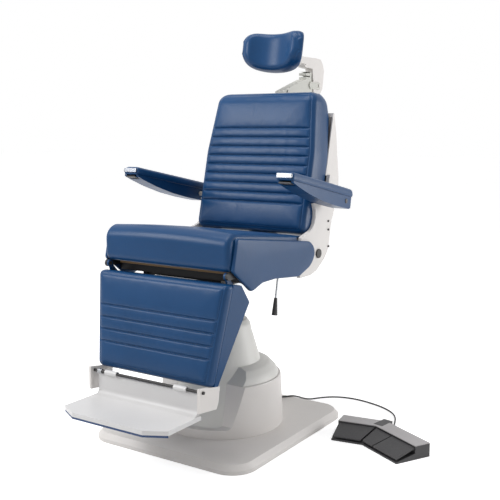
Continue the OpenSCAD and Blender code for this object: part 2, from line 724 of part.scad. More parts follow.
module post_guide() color(STEEL) in_back() difference() {
    box_bar(-post_w / 2 - guide_t - gap, panel_v + board_t, guide_low,
        [post_w + 2 * (guide_t + gap), post_t + 2 * guide_t + 2 * gap, guide_top - guide_low]);
    box_bar(-post_w / 2 - gap, post_v - gap, guide_low - over, [post_w + 2 * gap, post_t + 2 * gap,
        guide_top - guide_low + 2 * over]);
}

// Arms: a carrier turns on each hooked plate and keeps level, and the arm flips up on the carrier
carrier_r = 9;
carrier_x = hook_x0() + hook_t + 2 * gap;
carrier_t = 8;
carrier_end_r = 16;
crank_x = 216;
crank_t = 6;
crank_half = 8;
arm_pivot = [270, 830];
arm_pin_r = 8;
arm_pin_end = arm_inner + 52;
module arm_carrier(side) color("#a89c8c") on_side(side) {
    link(carrier_pivot, arm_pivot, carrier_end_r, carrier_x, carrier_t);
    x_bar(carrier_pivot, crank_x - over, carrier_x - crank_x + carrier_t / 2, carrier_r);
    link(carrier_pivot, carrier_pivot + rod_offset, crank_half, crank_x, crank_t);
    x_bar(carrier_pivot + rod_offset, crank_x + over, rod_x + rod_t - crank_x, rod_pin_r);
    x_bar(arm_pivot, carrier_x + over, arm_pin_end - carrier_x, arm_pin_r);
}
module arm_carrier_left() arm_carrier(1);
module arm_carrier_right() arm_carrier(-1);
module level_rod(side) color(STEEL) on_side(side) difference() {
    link(pivot + rod_offset, carrier_pivot + rod_offset, rod_half, rod_x, rod_t);
    x_bar(pivot + rod_offset, rod_x - over, rod_t + 2 * over, rod_pin_r + run_fit);
    x_bar(carrier_pivot + rod_offset, rod_x - over, rod_t + 2 * over, rod_pin_r + run_fit);
}
module level_rod_left() level_rod(1);
module level_rod_right() level_rod(-1);

module in_arm() translate([arm_inner + arm_w / 2, arm_pivot[0], arm_pivot[1]]) rotate([-arm_slope, 0, 0])
    children();
arm_rear = 42;
frame_inset = 5;
frame_h = 44.4;
frame_low = 26;
frame_shares = [[-0.985, 1], [-0.98, 0.86], [-0.9, 0.68], [-0.7, 0.36], [-0.45, 0.1], [-0.2, 0], [0.07, 0],
    [0.1, 0.1], [0.1, 1]];
module arm_frame(side) color(VINYL) on_side(side) difference() {
    in_arm() side_plate(placed(frame_shares, [0, -frame_low], [arm_len, frame_h]),
        frame_inset - arm_w / 2, arm_w - 2 * frame_inset);
    x_bar(arm_pivot, arm_inner - over, arm_w, arm_pin_r + run_fit);
    in_arm() box_bar(-paddle_half - gap, -arm_len, paddle_low - paddle_gap, [2 * (paddle_half + gap),
        paddle_len + 4 * paddle_gap, frame_h]);
    in_arm() x_bar(paddle_pin, -paddle_half - paddle_pin_reach - gap, 2 * (paddle_half + paddle_pin_reach + gap),
        paddle_pin_r + run_fit);
}
module arm_frame_left() arm_frame(1);
module arm_frame_right() arm_frame(-1);
arm_rows = [0, 0.008, 0.03, 0.09, 0.2, 0.4, 0.62, 0.82, 0.94, 0.985, 1];
module arm_pad(side) color(VINYL) on_side(side) in_arm() {
    total = arm_len + arm_rear;
    skin([for (u = arm_rows)
        let (e = min(1, min(u, 1 - u) / 0.05), shrink = 1 - sqrt(1 - pow(1 - e, 2.2)),
             half = arm_w / 2 * (0.84 + 0.16 * min(1, u * 1.6)) - 0.3 * arm_w / 2 * shrink,
             low = frame_h - frame_low + gap, h = arm_top - low)
        [for (p = cushion_ring(half, -arm_top + 0.35 * h * shrink, -low, 3 * e, 0, 0.4))
            [p[0], u * total - arm_len, -p[1]]]]);
}
module arm_pad_left() arm_pad(1);
module arm_pad_right() arm_pad(-1);
cap_w = 58;
cap_len = 5;
module arm_cap(side) color("#d8dadc") on_side(side) in_arm()
    box_bar(-cap_w / 2, -arm_len - cap_len - gap, arm_top - 20, [cap_w, cap_len, 15]);
module arm_cap_left() arm_cap(1);
module arm_cap_right() arm_cap(-1);
paddle_half = 22;
paddle_low = 8;
paddle_gap = 2.2;
paddle_len = 34;
paddle_t = 5;
paddle_pin_r = 2;
paddle_pin_reach = 6;
paddle_pin = [paddle_gap + paddle_len - 3 - arm_len, paddle_low + paddle_t / 2];
module arm_paddle(side) color(DARK) on_side(side) in_arm() {
    box_bar(-paddle_half, -arm_len + paddle_gap, paddle_low, [2 * paddle_half, paddle_len, paddle_t]);
    x_bar(paddle_pin, -paddle_half - paddle_pin_reach, 2 * (paddle_half + paddle_pin_reach), paddle_pin_r);
}
module arm_paddle_left() arm_paddle(1);
module arm_paddle_right() arm_paddle(-1);

// Leg rest, in its own leaning frame: y to the rear, z up, from its pivot
module in_leg() translate([0, -leg_y, leg_z]) rotate([-leg_lean, 0, 0]) children();
leg_front = 25.7;
leg_cushion_rear = 8;
leg_top = 24;
leg_wall = 6;
leg_shares = [[0.07, 0.07], [0.45, 0.07], [1, 0.223], [0.25, 1], [0.07, 1]];
function leg_half(s) = leg_half_top + (leg_half_foot - leg_half_top) * s / leg_len;
module leg_block(wall) intersection() {
    side_plate([for (p = leg_shares) [max(leg_cushion_rear + gap + wall, p[0] * leg_deep - wall),
        -min(leg_len - wall, max(leg_top + wall, p[1] * leg_len))]], -leg_half_top, 2 * leg_half_top);
    translate([0, leg_deep + over, 0]) rotate([90, 0, 0]) linear_extrude(leg_deep + 2 * over)
        polygon([[-leg_half(leg_top) + wall, -leg_top + over], [leg_half(leg_top) - wall, -leg_top + over],
            [leg_half(leg_len) - wall, -leg_len - over], [-leg_half(leg_len) + wall, -leg_len - over]]);
}
lug_in = 239.5;
lug_wide = 8;
lug_points = [[-8, 0], [8, 0], [leg_deep * 0.36, -leg_top - 2], [leg_deep * 0.36, -leg_top - 12],
    [leg_deep * 0.12, -leg_top - 12]];
module leg_frame() color(VINYL) difference() {
    union() {
        in_leg() difference() {
            leg_block(0);
            leg_block(leg_wall);
        }
        both_sides() {
            in_leg() side_plate(lug_points, lug_in + over, lug_wide - 2 * over);
            x_bar(leg_pivot, lug_in, lug_wide, ear_r);
        }
    }
    both_sides() x_bar(leg_pivot, lug_in - over, lug_wide + 2 * over, leg_pin_r + run_fit);
}
leg_first = 139;
leg_depth_table = [[0, 0.7], [0.015, 0.86], [0.05, 1], [0.95, 1], [0.985, 0.86], [1, 0.7]];
module leg_cushion() color(VINYL) in_leg() {
    span = leg_len - leg_top;
    chan = [for (k = [0:leg_channels - 1]) leg_first - leg_top + k * leg_pitch];
    rows = concat([0, 0.006, 0.018, 0.045, 0.1, 0.2, 0.28],
        [for (c = chan, d = [-0.18, 0, 0.18, 0.5]) (c + d * leg_pitch) / span], [0.84, 0.92, 0.965, 0.985, 1]);
    dents = [for (c = chan) c / span];
    skin([for (i = [len(rows) - 1:-1:0])
        let (u = rows[i], s = leg_top + u * span, f = lookup(u, leg_depth_table),
             near = min([for (d = dents) abs(u - d)]), dent = near < 0.001 ? channel_depth : 0,
             half = leg_half(s) - 3 * sin(180 * u) - 8 * (1 - f), thick = leg_front + leg_cushion_rear)
        [for (p = cushion_ring(half, leg_cushion_rear - thick * f, leg_cushion_rear, 7 * f, dent, 0.3))
            [p[0], p[1], -s]]]);
}

// Foot tray and its brackets
tray_pin_front = 48.53;
tray_pin_drop = 12.73;
tray_pin_low = leg_len + tray_pin_drop;
tray_pivot = leg_pivot - [tray_pin_front * cos(leg_lean) + tray_pin_low * sin(leg_lean),
    tray_pin_low * cos(leg_lean) - tray_pin_front * sin(leg_lean)];
bracket_x = 222;
bracket_t = 9;
bracket_d = 104;
bracket_h = 77;
bracket_front = 62;
bracket_shares = [[-0.06, 0], [0.06, 1], [0.94, 0.94], [1, 0.68], [1, 0]];
module tray_brackets() color(PAINT) difference() {
    in_leg() both_sides() side_plate(placed(bracket_shares, [-bracket_front, -leg_len - run_fit],
        [bracket_d, -bracket_h]), bracket_x, bracket_t);
    x_bar(tray_pivot, -2 * bracket_x, 4 * bracket_x, rod_r + run_fit);
}
module tray_rod() color("#b9bbbd") x_bar(tray_pivot, -bracket_x - bracket_t - cap_t,
    2 * (bracket_x + bracket_t + cap_t), rod_r);
knuckle_r = 9;
knuckle_len = 50;
knuckle_x = 120;
wall_t = 8;
wall_half = 208;
chamfer_x = 70;
chamfer_y = 38;
cove_r = 22;
module foot_tray() color("#d2d1d0") difference() {
    floor_z = tray_pivot[1] - tray_drop;
    wall_y = tray_pivot[0] + knuckle_r / 2;
    union() {
        translate([0, 0, floor_z - tray_t]) linear_extrude(tray_t) polygon([[-tray_half, wall_y + wall_t],
            [-tray_half, wall_y - tray_len + chamfer_y], [chamfer_x - tray_half, wall_y - tray_len],
            [tray_half - chamfer_x, wall_y - tray_len], [tray_half, wall_y - tray_len + chamfer_y],
            [tray_half, wall_y + wall_t]]);
        box_bar(-wall_half, wall_y, floor_z - over, [2 * wall_half, wall_t, tray_drop - knuckle_r + over]);
        difference() {
            box_bar(-wall_half, wall_y - cove_r, floor_z - over, [2 * wall_half, cove_r + over, cove_r + over]);
            x_bar([wall_y - cove_r, floor_z + cove_r], -2 * wall_half, 4 * wall_half, cove_r);
        }
        both_sides() {
            x_bar(tray_pivot, knuckle_x, knuckle_len, knuckle_r);
            box_bar(knuckle_x, wall_y, tray_pivot[1] - knuckle_r - over, [knuckle_len, wall_t, knuckle_r]);
        }
    }
    x_bar(tray_pivot, -2 * wall_half, 4 * wall_half, rod_r + run_fit);
}
bumper_t = 7;
bumper_w = 12;
module tray_bumper() color("#26406c") {
    floor_z = tray_pivot[1] - tray_drop - tray_t;
    front = tray_pivot[0] + knuckle_r / 2 - tray_len;
    translate([0, 0, floor_z - bumper_t]) linear_extrude(bumper_t) polygon([
        [-tray_half, front + chamfer_y], [chamfer_x - tray_half, front], [tray_half - chamfer_x, front],
        [tray_half, front + chamfer_y], [tray_half - bumper_w, front + chamfer_y],
        [tray_half - chamfer_x - bumper_w / 2, front + bumper_w],
        [chamfer_x - tray_half + bumper_w / 2, front + bumper_w], [bumper_w - tray_half, front + chamfer_y]]);
}
// Torsion spring round the rod, as one tube that climbs a helix
wire_r = 1.1;
coil_r = 6.95;
coil_gap = 0.8;
coils = 6;
coil_rings = 8;
coil_x = -204;
coil_pitch = 2 * wire_r + coil_gap;
spring_path = [for (i = [0:coils * coil_rings]) let (a = 360 * i / coil_rings)
    [coil_x + coil_pitch * i / coil_rings, tray_pivot[0] + coil_r * cos(a), tray_pivot[1] + coil_r * sin(a)]];
least_gap = min([for (i = [0:len(spring_path) - 1], j = [i + coil_rings / 2:1:len(spring_path) - 1])
    norm(spring_path[i] - spring_path[j])]) - 2 * wire_r;
echo(least_gap_of_spring = least_gap);
module tray_spring() color(STEEL) skin(tube_rings(spring_path, wire_r, 6));

// Headrest: post with gusset, link and pad, on the back
post_low = 300;
post_high = 628;
gusset_w = 34;
gusset_shares = [[0, 0.2], [0, 0.42], [0.59, 0.95], [0.81, 1], [0.84, 0.3], [0.5, 0], [0.12, 0]];
gusset_corner = [392, 1190];
gusset_size = [281, 98];
link_pivot = [672, 1262];
fork_x = gusset_w / 2;
fork_t = 6;
fork_r = 15;
link_pin_r = 6;
clamp_y = 576;
clamp_d = 42;
clamp_z = 1286;
clamp_h = 37;
slot_t = 5;
module head_post() color(GUSSET) difference() {
    union() {
        in_back() box_bar(-post_w / 2, post_v, post_low, [post_w, post_t, post_high - post_low]);
        side_plate(placed(gusset_shares, gusset_corner, gusset_size), -gusset_w / 2, gusset_w);
        both_sides() link([link_pivot[0] - 4 * fork_r, link_pivot[1]], link_pivot, fork_r, fork_x, fork_t);
        box_bar(-gusset_w / 2, clamp_y, clamp_z - clamp_h / 2, [gusset_w, clamp_d, 1.3 * clamp_h]);
    }
    for (z = [0.25, 0.66]) box_bar(-gusset_w, clamp_y - over, clamp_z + z * clamp_h,
        [2 * gusset_w, clamp_d * 0.8, slot_t]);
    x_bar(link_pivot, -2 * gusset_w, 4 * gusset_w, link_pin_r + run_fit);
}
pad_pivot = [572, 1358];
link_shares = [[0.5, 0], [0.8, 0], [0.93, 0.17], [0.98, 0.6], [1, 0.68], [0.93, 0.86], [0.84, 0.98], [0.65, 1],
    [0.12, 1], [0.02, 0.9], [0.02, 0.8], [0.12, 0.72], [0.42, 0.7], [0.46, 0.62]];
link_corner = [552, 1228];
link_size = [176, 146];
link_half = gusset_w / 2 - gap;
module head_link() color(PAINT) difference() {
    union() {
        side_plate(placed(link_shares, link_corner, link_size), -link_half, 2 * link_half);
        x_bar(link_pivot, -fork_x - fork_t - cap_t, 2 * (fork_x + fork_t + cap_t), link_pin_r);
    }
    x_bar(pad_pivot, -2 * link_half, 4 * link_half, link_pin_r + run_fit);
}
head_at = [0, 385, 1374];
head_lean = 11;
shell_arc_t = 6;
module in_head() translate(head_at) rotate([-head_lean, 0, 0]) children();
module head_shell() color(PAINT) {
    inner = head_curve + head_t / 2 + gap;
    in_head() intersection() {
        translate([0, -head_curve, 0]) difference() {
            translate([0, 0, -head_h * 0.34]) cylinder(h = head_h * 0.68, r = inner + shell_arc_t);
            cylinder(h = 2 * head_h, r = inner, center = true);
        }
        box_bar(-head_w * 0.38, 0, -head_h, [head_w * 0.76, inner, 2 * head_h]);
    }
    both_sides() link(pad_pivot, [head_at[1] + head_t / 2 + shell_arc_t + fork_r, pad_pivot[1] + fork_r / 2],
        fork_r, fork_x, fork_t);
    box_bar(-fork_x - fork_t, head_at[1] + head_t / 2 + shell_arc_t - gap, pad_pivot[1] - fork_r,
        [2 * (fork_x + fork_t), shell_arc_t + fork_r, 2.5 * fork_r]);
    x_bar(pad_pivot, -fork_x - fork_t, 2 * (fork_x + fork_t), link_pin_r);
}
head_rows = 16;
head_angle = 52;
module head_pad() color(VINYL) in_head() skin([for (i = [0:head_rows])
    let (a = head_angle * (2 * i / head_rows - 1) * 1.03, e = abs(a) / head_angle,
         end = pow(min(1, e / 1.04), 7), half_h = head_h / 2 * (1 - 0.12 * e * e) * sqrt(max(0.04, 1 - end)),
         half_t = head_t / 2 * (1 - 0.25 * e * e) * sqrt(max(0.04, 1 - end)), lift = 14 * e * e)
    [for (k = [0:17]) let (t = 360 * (k + 0.5) / 18, r = head_curve + half_t * sgn_pow(sin(t), 0.6))
        [r * sin(a), r * cos(a) - head_curve, lift + half_h * sgn_pow(cos(t), 0.6)]]]);

base_plate();
levelling_feet();
lower_housing();
tower_cover();
outer_column();
lift_cylinder();
cover_screws();
base_gland();
foot_cord();
control_housing();
control_strips();
control_gland();
pedal_left();
pedal_centre();
pedal_right();
inner_column();
lift_ram();
swivel_bearing();
swivel_hub();
seat_frame();
seat_pan();
seat_cushion();
side_panel_left();
side_panel_right();
recline_drive();
leg_pins();
lock_rod();
lock_grip();
hook_plate_left();
hook_plate_right();
torque_shaft();
back_panel();
back_cushion();
back_shell();
plate_screws();
post_guide();
arm_carrier_left();
arm_carrier_right();
level_rod_left();
level_rod_right();
arm_frame_left();
arm_frame_right();
arm_pad_left();
arm_pad_right();
arm_cap_left();
arm_cap_right();
arm_paddle_left();
arm_paddle_right();
leg_frame();
leg_cushion();
tray_brackets();
tray_rod();
tray_spring();
foot_tray();
tray_bumper();
head_post();
head_link();
head_shell();
head_pad();
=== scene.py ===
"""Dresses the examination chair: upholstery, paint, metal, cord and a plain studio."""

from __future__ import annotations

import json
import logging
import math
from dataclasses import dataclass
from enum import Enum
from typing import Callable, Iterable, Sequence

import bpy
import numpy as np
from mathutils import Matrix, Vector

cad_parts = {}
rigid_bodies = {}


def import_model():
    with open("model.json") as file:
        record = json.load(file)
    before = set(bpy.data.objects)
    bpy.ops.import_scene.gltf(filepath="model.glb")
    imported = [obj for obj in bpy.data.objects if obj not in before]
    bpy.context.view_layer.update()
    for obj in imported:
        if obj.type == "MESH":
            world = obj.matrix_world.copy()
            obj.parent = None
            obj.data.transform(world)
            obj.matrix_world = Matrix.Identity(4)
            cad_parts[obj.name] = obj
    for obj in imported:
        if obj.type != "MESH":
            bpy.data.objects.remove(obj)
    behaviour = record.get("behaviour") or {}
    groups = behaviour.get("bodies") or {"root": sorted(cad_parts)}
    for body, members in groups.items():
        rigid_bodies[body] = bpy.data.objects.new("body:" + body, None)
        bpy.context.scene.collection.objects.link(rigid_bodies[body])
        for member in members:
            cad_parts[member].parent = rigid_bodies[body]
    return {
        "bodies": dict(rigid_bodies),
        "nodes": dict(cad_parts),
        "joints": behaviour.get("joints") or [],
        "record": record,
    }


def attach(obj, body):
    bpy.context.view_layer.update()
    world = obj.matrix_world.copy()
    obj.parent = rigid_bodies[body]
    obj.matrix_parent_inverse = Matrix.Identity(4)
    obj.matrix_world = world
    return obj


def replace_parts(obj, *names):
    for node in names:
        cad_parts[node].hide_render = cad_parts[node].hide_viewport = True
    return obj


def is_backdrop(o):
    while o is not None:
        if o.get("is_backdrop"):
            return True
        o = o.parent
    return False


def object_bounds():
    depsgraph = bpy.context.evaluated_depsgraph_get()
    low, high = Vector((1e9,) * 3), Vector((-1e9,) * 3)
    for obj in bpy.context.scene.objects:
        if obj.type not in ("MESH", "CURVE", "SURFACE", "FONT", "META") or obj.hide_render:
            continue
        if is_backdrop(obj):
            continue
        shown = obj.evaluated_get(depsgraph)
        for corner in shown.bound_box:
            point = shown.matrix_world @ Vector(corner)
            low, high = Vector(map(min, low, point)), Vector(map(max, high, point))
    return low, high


LOG = logging.getLogger("chair")
MM = 0.001
TINY = 1e-9
Node = bpy.types.Node
Socket = bpy.types.NodeSocket
Piece = bpy.types.Object
Pair = tuple[float, float]
Spot = tuple[float, float, float]
Curve = Callable[[np.ndarray], np.ndarray]

# How a cushion's face is stepped and sewn, in millimetres.
END_REACH = 24.0
LEAST_STEP = 0.8
CHANNEL_ROOM = 6.5
CHANNEL_REACH = 5.5
CHANNEL_STEPS = (-5.5, -3, -1.3, 0, 1.3, 3, 5.5)
CHANNEL_POWER = 1.6
SEAM_REACH = 3.0
SEAM_STEPS = (-3, -1.2, 0, 1.2, 3)
SEAM_ENDS = 4.0
SEAM_EASE = 8.0
THREAD_INSET = 3.5
SAME_SPOT = 0.1

# The coarse sheet that swells: its rows in millimetres, its columns in thousandths.
SHEET_ROWS = 6.0
SHEET_COLUMNS = 32.0

# The rings of a cushion's band, as shares of its depth and of its rear edge's bend.
BAND_SHARES = (0.05, 0.12, 0.25, 0.42, 0.6, 0.78, 0.9, 1.0)
BEND_SHARES = (0.35, 0.7)
LEAST_BAND = 2.0
MOST_BEND = 0.45
LEAST_COLUMNS = 4

# A ramp's places for a finish's dark, plain and light patches, and its noises' scales.
PATCH_PLACES = (0.3, 0.5, 0.72)
PATCH_SCALE = 7
WOOD_PATCH_SCALE = 3
GLOSS_SCALE = 160
ARC_POINTS = 12


class Slot(Enum):
    """The finishes that the chair's parts are made in."""

    VINYL = "vinyl_blue"
    PAINT = "paint_offwhite"
    TOWER = "paint_tower"
    GUSSET = "paint_gusset"
    CARRIER = "paint_carrier"
    DARK_STEEL = "steel_dark"
    BRIGHT_STEEL = "steel_bright"
    CHROME = "chrome_trim"
    PLYWOOD = "plywood"
    DARK_PLASTIC = "plastic_dark"
    STRIP = "strip_grey"
    TRAY = "tray_top"
    BLUE_RUBBER = "rubber_blue"
    BLACK_RUBBER = "rubber_black"


class Side(Enum):
    """The patient's left and right, as the sign of X."""

    LEFT = 1
    RIGHT = -1

    @property
    def word(self) -> str:
        """The side's name as the parts carry it."""
        return self.name.lower()


class Grain(Enum):
    """The fine relief of a finish."""

    LEATHER = "leather"
    PEEL = "orange peel"
    BRUSHED = "brushed"
    STIPPLE = "stipple"
    WOOD = "wood"


@dataclass(frozen=True)
class Relief:
    """One layer of a surface's relief, made of noise.

    Its scale is in cells per metre and its depth in millimetres. A layer without
    a strength of its own takes the finish's.
    """

    scale: float
    detail: float
    depth: float
    strength: float | None = None
    stretch: Spot = (1, 1, 1)


RELIEFS = {
    Grain.LEATHER: (Relief(26, 4, 2.2, 0.16), Relief(210, 3, 0.4, 0.22)),
    Grain.PEEL: (Relief(5, 2, 3, 0.04), Relief(330, 2, 0.15)),
    Grain.BRUSHED: (Relief(420, 2, 0.1, stretch=(0.03, 1, 1)),),
    Grain.STIPPLE: (Relief(900, 2, 0.2),),
    Grain.WOOD: (Relief(90, 5, 0.5, stretch=(0.08, 1, 6)),),
}


class NodeSheet:
    """A small helper that lays out a material's nodes."""

    def __init__(self, name: str) -> None:
        """Opens a new node material with its shader.

        Args:
            name: The material's name.
        """
        self.material = bpy.data.materials.new(name)
        self.material.use_nodes = True
        self.tree = self.material.node_tree
        self.shader = self.tree.nodes["Principled BSDF"].inputs
        self.place = self.add("ShaderNodeTexCoord").outputs["Object"]

    def add(self, kind: str, **values: object) -> Node:
        """Adds a node and sets its inputs or properties.

        Args:
            kind: The node's type.
            **values: Input values by input name, or properties by name.

        Returns:
            The new node.
        """
        node = self.tree.nodes.new(kind)
        for key, value in values.items():
            label = key.replace("_", " ")
            if label in node.inputs:
                node.inputs[label].default_value = value
            else:
                setattr(node, key, value)
        return node

    def link(self, start: Socket, end: Socket) -> None:
        """Links two sockets."""
        self.tree.links.new(start, end)

    def plain(self, **values: object) -> None:
        """Sets shader inputs that are the same all over, by name."""
        for key, value in values.items():
            self.shader[key.replace("_", " ")].default_value = value

    def noise(self, scale: float, detail: float, stretch: Spot = (1, 1, 1)) -> Socket:
        """Adds a noise over the object.

        Args:
            scale: Its cells per metre.
            detail: Its octaves.
            stretch: A factor for each axis.

        Returns:
            The noise's value.
        """
        mapping = self.add("ShaderNodeMapping", Scale=stretch)
        noise = self.add("ShaderNodeTexNoise", Scale=scale, Detail=detail, Roughness=0.55)
        self.link(self.place, mapping.inputs["Vector"])
        self.link(mapping.outputs["Vector"], noise.inputs["Vector"])
        return noise.outputs["Fac"]

    def ramp(self, value: Socket, stops: Sequence[tuple[float, Sequence[float]]]) -> Socket:
        """Runs a value through a ramp of colours.

        Args:
            value: The value to look up.
            stops: Each stop's place and colour.

        Returns:
            The colour.
        """
        ramp = self.add("ShaderNodeValToRGB")
        marks = ramp.color_ramp.elements
        for mark, (spot, color) in zip(marks, (stops[0], stops[-1])):
            mark.position, mark.color = spot, (*color, 1)
        for spot, color in stops[1:-1]:
            marks.new(spot).color = (*color, 1)
        self.link(value, ramp.inputs["Fac"])
        return ramp.outputs["Color"]

    def span(self, value: Socket, low: float, high: float) -> Socket:
        """Maps a noise's middle range to a range of its own.

        Args:
            value: The noise.
            low: What the low end becomes.
            high: What the high end becomes.

        Returns:
            The mapped value.
        """
        ends = {"From_Min": 0.3, "From_Max": 0.7, "To_Min": low, "To_Max": high}
        node = self.add("ShaderNodeMapRange", **ends)
        self.link(value, node.inputs["Value"])
        return node.outputs["Result"]

    def bump(
        self, height: Socket, depth: float, strength: float, under: Socket | None = None
    ) -> Socket:
        """Adds a relief from a height.

        Args:
            height: The height's value.
            depth: The relief's full depth in metres.
            strength: Its strength.
            under: The normal of a relief below it.

        Returns:
            The new normal.
        """
        node = self.add("ShaderNodeBump", Strength=strength, Distance=depth)
        self.link(height, node.inputs["Height"])
        if under is not None:
            self.link(under, node.inputs["Normal"])
        return node.outputs["Normal"]


def linear(code: str) -> Spot:
    """Turns a colour of six hexadecimal digits into the shader's linear values."""
    parts = [int(code[i : i + 2], 16) / 255 for i in (0, 2, 4)]
    return tuple(c / 12.92 if c <= 0.04045 else ((c + 0.055) / 1.055) ** 2.4 for c in parts)


@dataclass(frozen=True)
class Finish:
    """One finish of the chair, from its colour, gloss and relief."""

    slot: Slot
    code: str
    grain: Grain
    rough: float
    metal: float = 0.0
    mottle: float = 0.05
    relief: float = 0.35
    specular: float = 0.5
    rough_spread: float = 0.12

    def shade(self, factor: float) -> tuple[float, ...]:
        """The finish's colour, lighter or darker by a factor."""
        return tuple(min(1.0, c * factor) for c in linear(self.code))

    def material(self) -> bpy.types.Material:
        """Makes the finish's material, or finds it if it is there.

        Returns:
            The material.
        """
        name = f"{self.slot.value}_{self.grain.name.lower()}"
        found = bpy.data.materials.get(name)
        if found is not None:
            return found
        sheet = NodeSheet(name)
        sheet.plain(Metallic=self.metal, Specular_IOR_Level=self.specular)
        patches = sheet.noise(WOOD_PATCH_SCALE if self.grain is Grain.WOOD else PATCH_SCALE, 4)
        shades = [self.shade(1 + sign * self.mottle) for sign in (-1, 0, 1)]
        stops = list(zip(PATCH_PLACES, shades))
        sheet.link(sheet.ramp(patches, stops), sheet.shader["Base Color"])
        low, high = (self.rough * (1 + sign * self.rough_spread) for sign in (-1, 1))
        gloss = sheet.span(sheet.noise(GLOSS_SCALE, 2), low, high)
        sheet.link(gloss, sheet.shader["Roughness"])
        sheet.link(self.normal(sheet), sheet.shader["Normal"])
        return sheet.material

    def normal(self, sheet: NodeSheet) -> Socket:
        """Lays out the relief of the finish's grain.

        Args:
            sheet: The material's node sheet.

        Returns:
            The normal to give the shader.
        """
        normal = None
        for layer in RELIEFS[self.grain]:
            strength = self.relief if layer.strength is None else layer.strength
            height = sheet.noise(layer.scale, layer.detail, layer.stretch)
            normal = sheet.bump(height, layer.depth * MM, strength, normal)
        if self.grain is Grain.LEATHER:
            cells = sheet.add(
                "ShaderNodeTexVoronoi", feature="SMOOTH_F1", Scale=620.0, Smoothness=0.6
            )
            sheet.link(sheet.place, cells.inputs["Vector"])
            normal = sheet.bump(cells.outputs["Distance"], 0.25 * MM, self.relief, normal)
        return normal


VINYL = Finish(
    Slot.VINYL, "12406c", Grain.LEATHER, 0.33, mottle=0.06, relief=0.12, specular=0.25
)
THREAD = Finish(Slot.VINYL, "2c5a8c", Grain.STIPPLE, 0.6)
PAINT = Finish(Slot.PAINT, "dedad7", Grain.PEEL, 0.42, mottle=0.02, relief=0.25)
TOWER = Finish(Slot.TOWER, "dbdad6", Grain.PEEL, 0.46, mottle=0.02, relief=0.3)
GUSSET = Finish(Slot.GUSSET, "c6c6bf", Grain.PEEL, 0.45, mottle=0.02, relief=0.25)
CARRIER = Finish(Slot.CARRIER, "b9b2a8", Grain.PEEL, 0.4, mottle=0.03, relief=0.25)
DARK_STEEL = Finish(
    Slot.DARK_STEEL, "3a3939", Grain.BRUSHED, 0.46, metal=0.4, mottle=0.08, specular=0.3
)
BRIGHT_STEEL = Finish(
    Slot.BRIGHT_STEEL, "c3c5c8", Grain.BRUSHED, 0.26, metal=1.0, mottle=0.04
)
CHROME = Finish(
    Slot.CHROME, "8d9096", Grain.BRUSHED, 0.18, metal=1.0, mottle=0.02, relief=0.08
)
PLYWOOD = Finish(Slot.PLYWOOD, "9c7b55", Grain.WOOD, 0.62, mottle=0.16, relief=0.4)
DARK_PLASTIC = Finish(Slot.DARK_PLASTIC, "39383a", Grain.STIPPLE, 0.5, mottle=0.06)
STRIP = Finish(Slot.STRIP, "aba8a9", Grain.STIPPLE, 0.48, mottle=0.04, relief=0.25)
TRAY = Finish(Slot.TRAY, "d4d3d3", Grain.PEEL, 0.38, mottle=0.02)
BLUE_RUBBER = Finish(
    Slot.BLUE_RUBBER, "1f3c66", Grain.STIPPLE, 0.55, mottle=0.06, relief=0.3
)
BLACK_RUBBER = Finish(
    Slot.BLACK_RUBBER, "242426", Grain.STIPPLE, 0.52, mottle=0.08, relief=0.3
)


def both(*names: str) -> tuple[str, ...]:
    """The names of parts that come in a left and a right one."""
    return tuple(f"{name}_{side.word}" for name in names for side in Side)


PARTS_BY_FINISH = {
    PAINT: (
        "base_plate", "lower_housing", "back_shell", "tray_brackets", "head_link",
        "head_shell", *both("hook_plate"),
    ),
    TOWER: ("tower_cover",),
    GUSSET: ("head_post",),
    CARRIER: both("arm_carrier"),
    DARK_STEEL: (
        "outer_column", "swivel_bearing", "swivel_hub", "seat_frame", "leg_pins",
        "torque_shaft", "back_panel", "post_guide", "tray_rod", "cover_screws",
        "plate_screws", *both("level_rod"),
    ),
    BRIGHT_STEEL: ("inner_column", "lift_ram", "lock_rod"),
    CHROME: both("arm_cap"),
    PLYWOOD: ("seat_pan",),
    DARK_PLASTIC: (
        "lift_cylinder", "recline_drive", "base_gland", "control_gland", "lock_grip",
        "control_housing", "pedal_centre", *both("pedal", "arm_paddle"),
    ),
    STRIP: ("control_strips",),
    TRAY: ("foot_tray",),
    VINYL: ("leg_frame", *both("arm_frame")),
    BLUE_RUBBER: ("tray_bumper",),
    BLACK_RUBBER: ("levelling_feet",),
}

WIDE_EDGES = {
    3.0: ("leg_frame", *both("arm_frame")),
    2.5: ("foot_tray", "back_shell", "head_link"),
    2.0: both("arm_cap"),
    1.6: ("control_housing",),
    1.5: ("lower_housing", "pedal_centre", *both("pedal", "hook_plate")),
}


def in_scene(name: str, data: bpy.types.ID) -> Piece:
    """Makes an object and puts it into the scene.

    Args:
        name: The object's name.
        data: Its mesh, lamp or camera.

    Returns:
        The object.
    """
    piece = bpy.data.objects.new(name, data)
    bpy.context.scene.collection.objects.link(piece)
    return piece


def angles(count: int) -> np.ndarray:
    """Even angles round a circle."""
    return 2 * math.pi * np.arange(count) / count


def quarter(steps: int) -> np.ndarray:
    """Shares of a radius at which a rounded edge is sampled, from its rim inwards."""
    return 1 - np.cos(np.linspace(0, math.pi / 2, steps + 1))


def to_ends(values: np.ndarray, low: float, high: float) -> np.ndarray:
    """The distance of each value to the nearer of two ends."""
    return np.minimum(values - low, high - values)


def upright(x: float, outline: np.ndarray) -> np.ndarray:
    """Stands an outline of Y and Z up at an X, in metres."""
    return np.column_stack([np.full(len(outline), x), outline]) * MM


def round_over(distance: np.ndarray, reach: float, drop: float) -> np.ndarray:
    """How far a surface falls at a distance from an edge that is rounded over a reach."""
    t = np.clip(1 - distance / reach, 0, 1)
    return drop * (1 - np.sqrt(1 - t * t))


